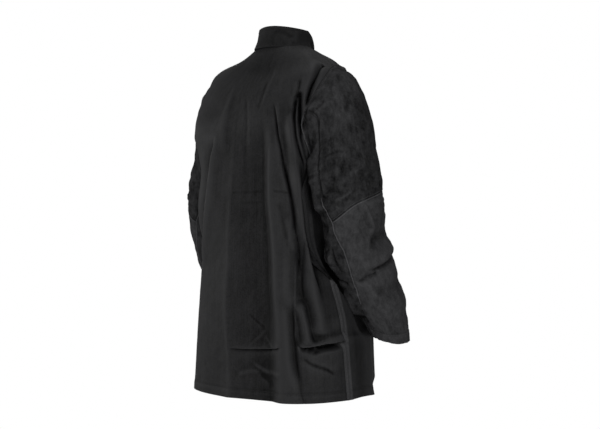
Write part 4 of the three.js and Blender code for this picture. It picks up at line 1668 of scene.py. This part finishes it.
@dataclass
class SuedeSleeve:
    """One suede sleeve: upper sleeve, forearm and under-sleeve."""

    form: SleeveForm
    wardrobe: Wardrobe
    wall: float = 2.0
    outer_columns: int = 100
    under_columns: int = 76
    top_rows: int = 96
    forearm_rows: int = 120
    seam_in: float = 0.6
    armhole_in: float = 1.2
    armhole_welt: int = 60
    welt_above: int = 20
    head_rows: Pair = (4.0, 9.0)
    elbow_in: float = 5.0
    back_in: float = 3.5
    back_stitches: Stitching = Stitching(length=3.4, space=0.8, radius=0.7)
    top_cut: Cut = Cut(0.27, 0.32, 0.067)
    forearm_cut: Cut = Cut(0.24, 0.36, 0.068)
    under_cut: Cut = Cut(0.22, 0.64, 0.10)

    @property
    def name(self) -> str:
        """Which side it is on."""
        return "left" if self.form.side > 0 else "right"

    def panel(self, deg: Array, share: Array) -> Panel:
        """The draped panel over a grid, mirrored for a right sleeve."""
        points = self.form.drape(deg, share) * (self.form.side, 1, 1)
        return Panel(points, self.form.flat(deg, share), self.form.side < 0)

    def build(self) -> None:
        """Makes the three panels, their raised seams and their stitches."""
        first = self.form.front_seam - 360
        part = np.linspace(0, 1, self.outer_columns + 1)[:, None]
        elbow = self.form.elbow(mix(first, self.form.back_seam(np.array(self.form.elbow_share)), part))
        share = elbow * np.linspace(0, 1, self.top_rows + 1)
        top = self.panel(mix(first, self.form.back_seam(share), part), share)
        share = mix(elbow, 1.0, np.linspace(0, 1, self.forearm_rows + 1))
        fore = self.panel(mix(first, self.form.back_seam(share), part), share)
        share = np.concatenate([np.linspace(0, elbow[-1, 0], self.top_rows + 1),
                                np.linspace(elbow[-1, 0], 1, self.forearm_rows + 1)[1:]])
        part = np.linspace(0, 1, self.under_columns + 1)[:, None]
        deg = mix(self.form.back_seam(share), self.form.front_seam, part)
        under = self.panel(deg, np.broadcast_to(share, deg.shape))
        for node, panel, cut in (("sleeve_top", top, self.top_cut), ("forearm", fore, self.forearm_cut),
                                 ("sleeve_under", under, self.under_cut)):
            piece = panel.build(f"{node}_{self.name}_suede", self.wall)
            self.wardrobe.dress(piece, PALE_SUEDE if node == "forearm" else SUEDE, f"{node}_{self.name}")
        self.build_seams(top, fore, under)

    def build_seams(self, top: Panel, fore: Panel, under: Panel) -> None:
        """Adds the raised edges of the seams and the rows of stitches beside them.

        Args:
            top: The upper sleeve.
            fore: The forearm.
            under: The under-sleeve.
        """
        ridge = under.line_in(Edge.FIRST_COLUMN, self.seam_in)
        armhole = under.line_in(Edge.FIRST_ROW, self.armhole_in)
        low = slice(self.top_rows - self.welt_above, -self.forearm_rows // 3)
        ridges = [fore.line_in(Edge.FIRST_ROW, self.seam_in), tuple(part[low] for part in ridge),
                  tuple(part[: self.armhole_welt] for part in armhole)]
        self.wardrobe.dress(Welting().build(f"sleeve_seams_{self.name}", ridges), SUEDE_EDGE)
        cuff = self.form.cuff.width
        lines = [*(top.line_in(Edge.FIRST_ROW, row) for row in self.head_rows),
                 top.line_in(Edge.LAST_ROW, self.elbow_in), fore.line_in(Edge.LAST_ROW, cuff),
                 under.line_in(Edge.LAST_ROW, cuff), under.line_in(Edge.FIRST_ROW, self.head_rows[0])]
        self.wardrobe.sew(f"sleeve_stitches_{self.name}", lines, SUEDE_THREAD)
        beside = under.line_in(Edge.FIRST_COLUMN, self.back_in)
        lines = [top.line_in(Edge.LAST_COLUMN, self.back_in), tuple(part[: self.top_rows] for part in beside)]
        self.wardrobe.sew(f"back_seam_stitches_{self.name}", lines, DARK_THREAD, self.back_stitches)


# ---------------------------------------------------------------- studio


@dataclass(frozen=True)
class Lamp:
    """A square soft lamp, placed from the target towards the camera, to its right and up."""

    name: str
    back: float
    right: float
    up: float
    size: float
    power: float


@dataclass
class Studio:
    """A white surround, a pale floor, soft lamps and the camera."""

    lamps: tuple[Lamp, ...] = (
        Lamp("key", -0.8, -2.65, 0.4, 0.8, 23.0),
        Lamp("fill", 2.65, -0.9, 0.2, 0.8, 24.0),
        Lamp("front", -2.7, 0.0, 0.5, 1.2, 15.0),
        Lamp("side", 2.75, 0.75, 0.2, 0.8, 27.0),
        Lamp("top", 0.0, 0.0, 2.6, 2.4, 34.0),
    )
    target: tuple[float, float, float] = (0.0, 0.0, -0.377)
    azimuth: float = 222.0
    distance: float = 2.75
    lens: float = 72.36
    sensor: float = 36.0
    shift: float = 0.025
    floor_z: float = -1.55
    floor_radius: float = 3.5
    floor_sides: int = 96
    ambient: float = 0.21

    def back(self) -> Vector:
        """The direction from the target to the camera."""
        turn = np.radians(self.azimuth)
        return Vector((np.sin(turn), -np.cos(turn), 0.0))

    def build(self) -> None:
        """Sets up the camera, the lamps, the surround and the floor."""
        back = self.back()
        camera = bpy.data.objects.new("camera", bpy.data.cameras.new("camera"))
        camera.data.lens, camera.data.sensor_width = self.lens, self.sensor
        camera.data.shift_x = self.shift
        camera.location = Vector(self.target) + back * self.distance
        camera.rotation_euler = (-back).to_track_quat("-Z", "Y").to_euler()
        bpy.context.scene.collection.objects.link(camera)
        bpy.context.scene.camera = camera
        for lamp in self.lamps:
            self.hang(lamp, back)
        self.surround()
        self.floor()
        bpy.context.scene.view_settings.view_transform = "Standard"

    def hang(self, lamp: Lamp, back: Vector) -> None:
        """Adds a lamp that faces the target.

        Args:
            lamp: The lamp.
            back: The direction from the target to the camera.
        """
        up = Vector((0, 0, 1))
        offset = back * lamp.back + up.cross(back) * lamp.right + up * lamp.up
        made = bpy.data.objects.new(lamp.name, bpy.data.lights.new(lamp.name, "AREA"))
        made.data.size, made.data.energy = lamp.size, lamp.power
        made.location = Vector(self.target) + offset
        made.rotation_euler = (-offset).to_track_quat("-Z", "Y").to_euler()
        made.visible_camera = False
        bpy.context.scene.collection.objects.link(made)

    def surround(self) -> None:
        """White to look at, and dimmer as a light."""
        world = bpy.data.worlds.new("surround")
        bpy.context.scene.world = world
        world.use_nodes = True
        graph = Graph(world.node_tree)
        seen = graph.add("ShaderNodeLightPath").outputs["Is Camera Ray"]
        strength = graph.add("ShaderNodeMapRange", {"Value": seen, "To Min": self.ambient, "To Max": 1.0})
        sky = world.node_tree.nodes["Background"]
        sky.inputs["Color"].default_value = (1, 1, 1, 1)
        world.node_tree.links.new(strength.outputs[0], sky.inputs["Strength"])

    def floor(self) -> None:
        """A plain pale disc below the hem."""
        turn = circle(self.floor_sides)
        height = np.full(self.floor_sides, self.floor_z / self.floor_radius)
        points = np.stack([np.cos(turn), np.sin(turn), height], -1) * self.floor_radius / MM
        disc = add_object("floor", points, [np.arange(self.floor_sides)[None, :]], smooth=False)
        disc.data.materials.append(PALE_FLOOR.make())


# ---------------------------------------------------------------- the whole jacket


def main() -> None:
    """Builds the jacket piece by piece, then the studio."""
    logging.basicConfig(level=logging.INFO, format="%(name)s %(message)s")
    wardrobe = Wardrobe()
    body = BodyForm()
    StandCollar(CollarForm(body=body), wardrobe).build()
    ClothBody(body, wardrobe).build()
    FrontClosure(body, wardrobe).build()
    for side, folds in ((1, LEFT_SLEEVE_FOLDS), (-1, SLEEVE_FOLDS)):
        SuedeSleeve(SleeveForm(body=body, side=side, folds=folds), wardrobe).build()
    Studio().build()


if __name__ == "__main__":
    main()
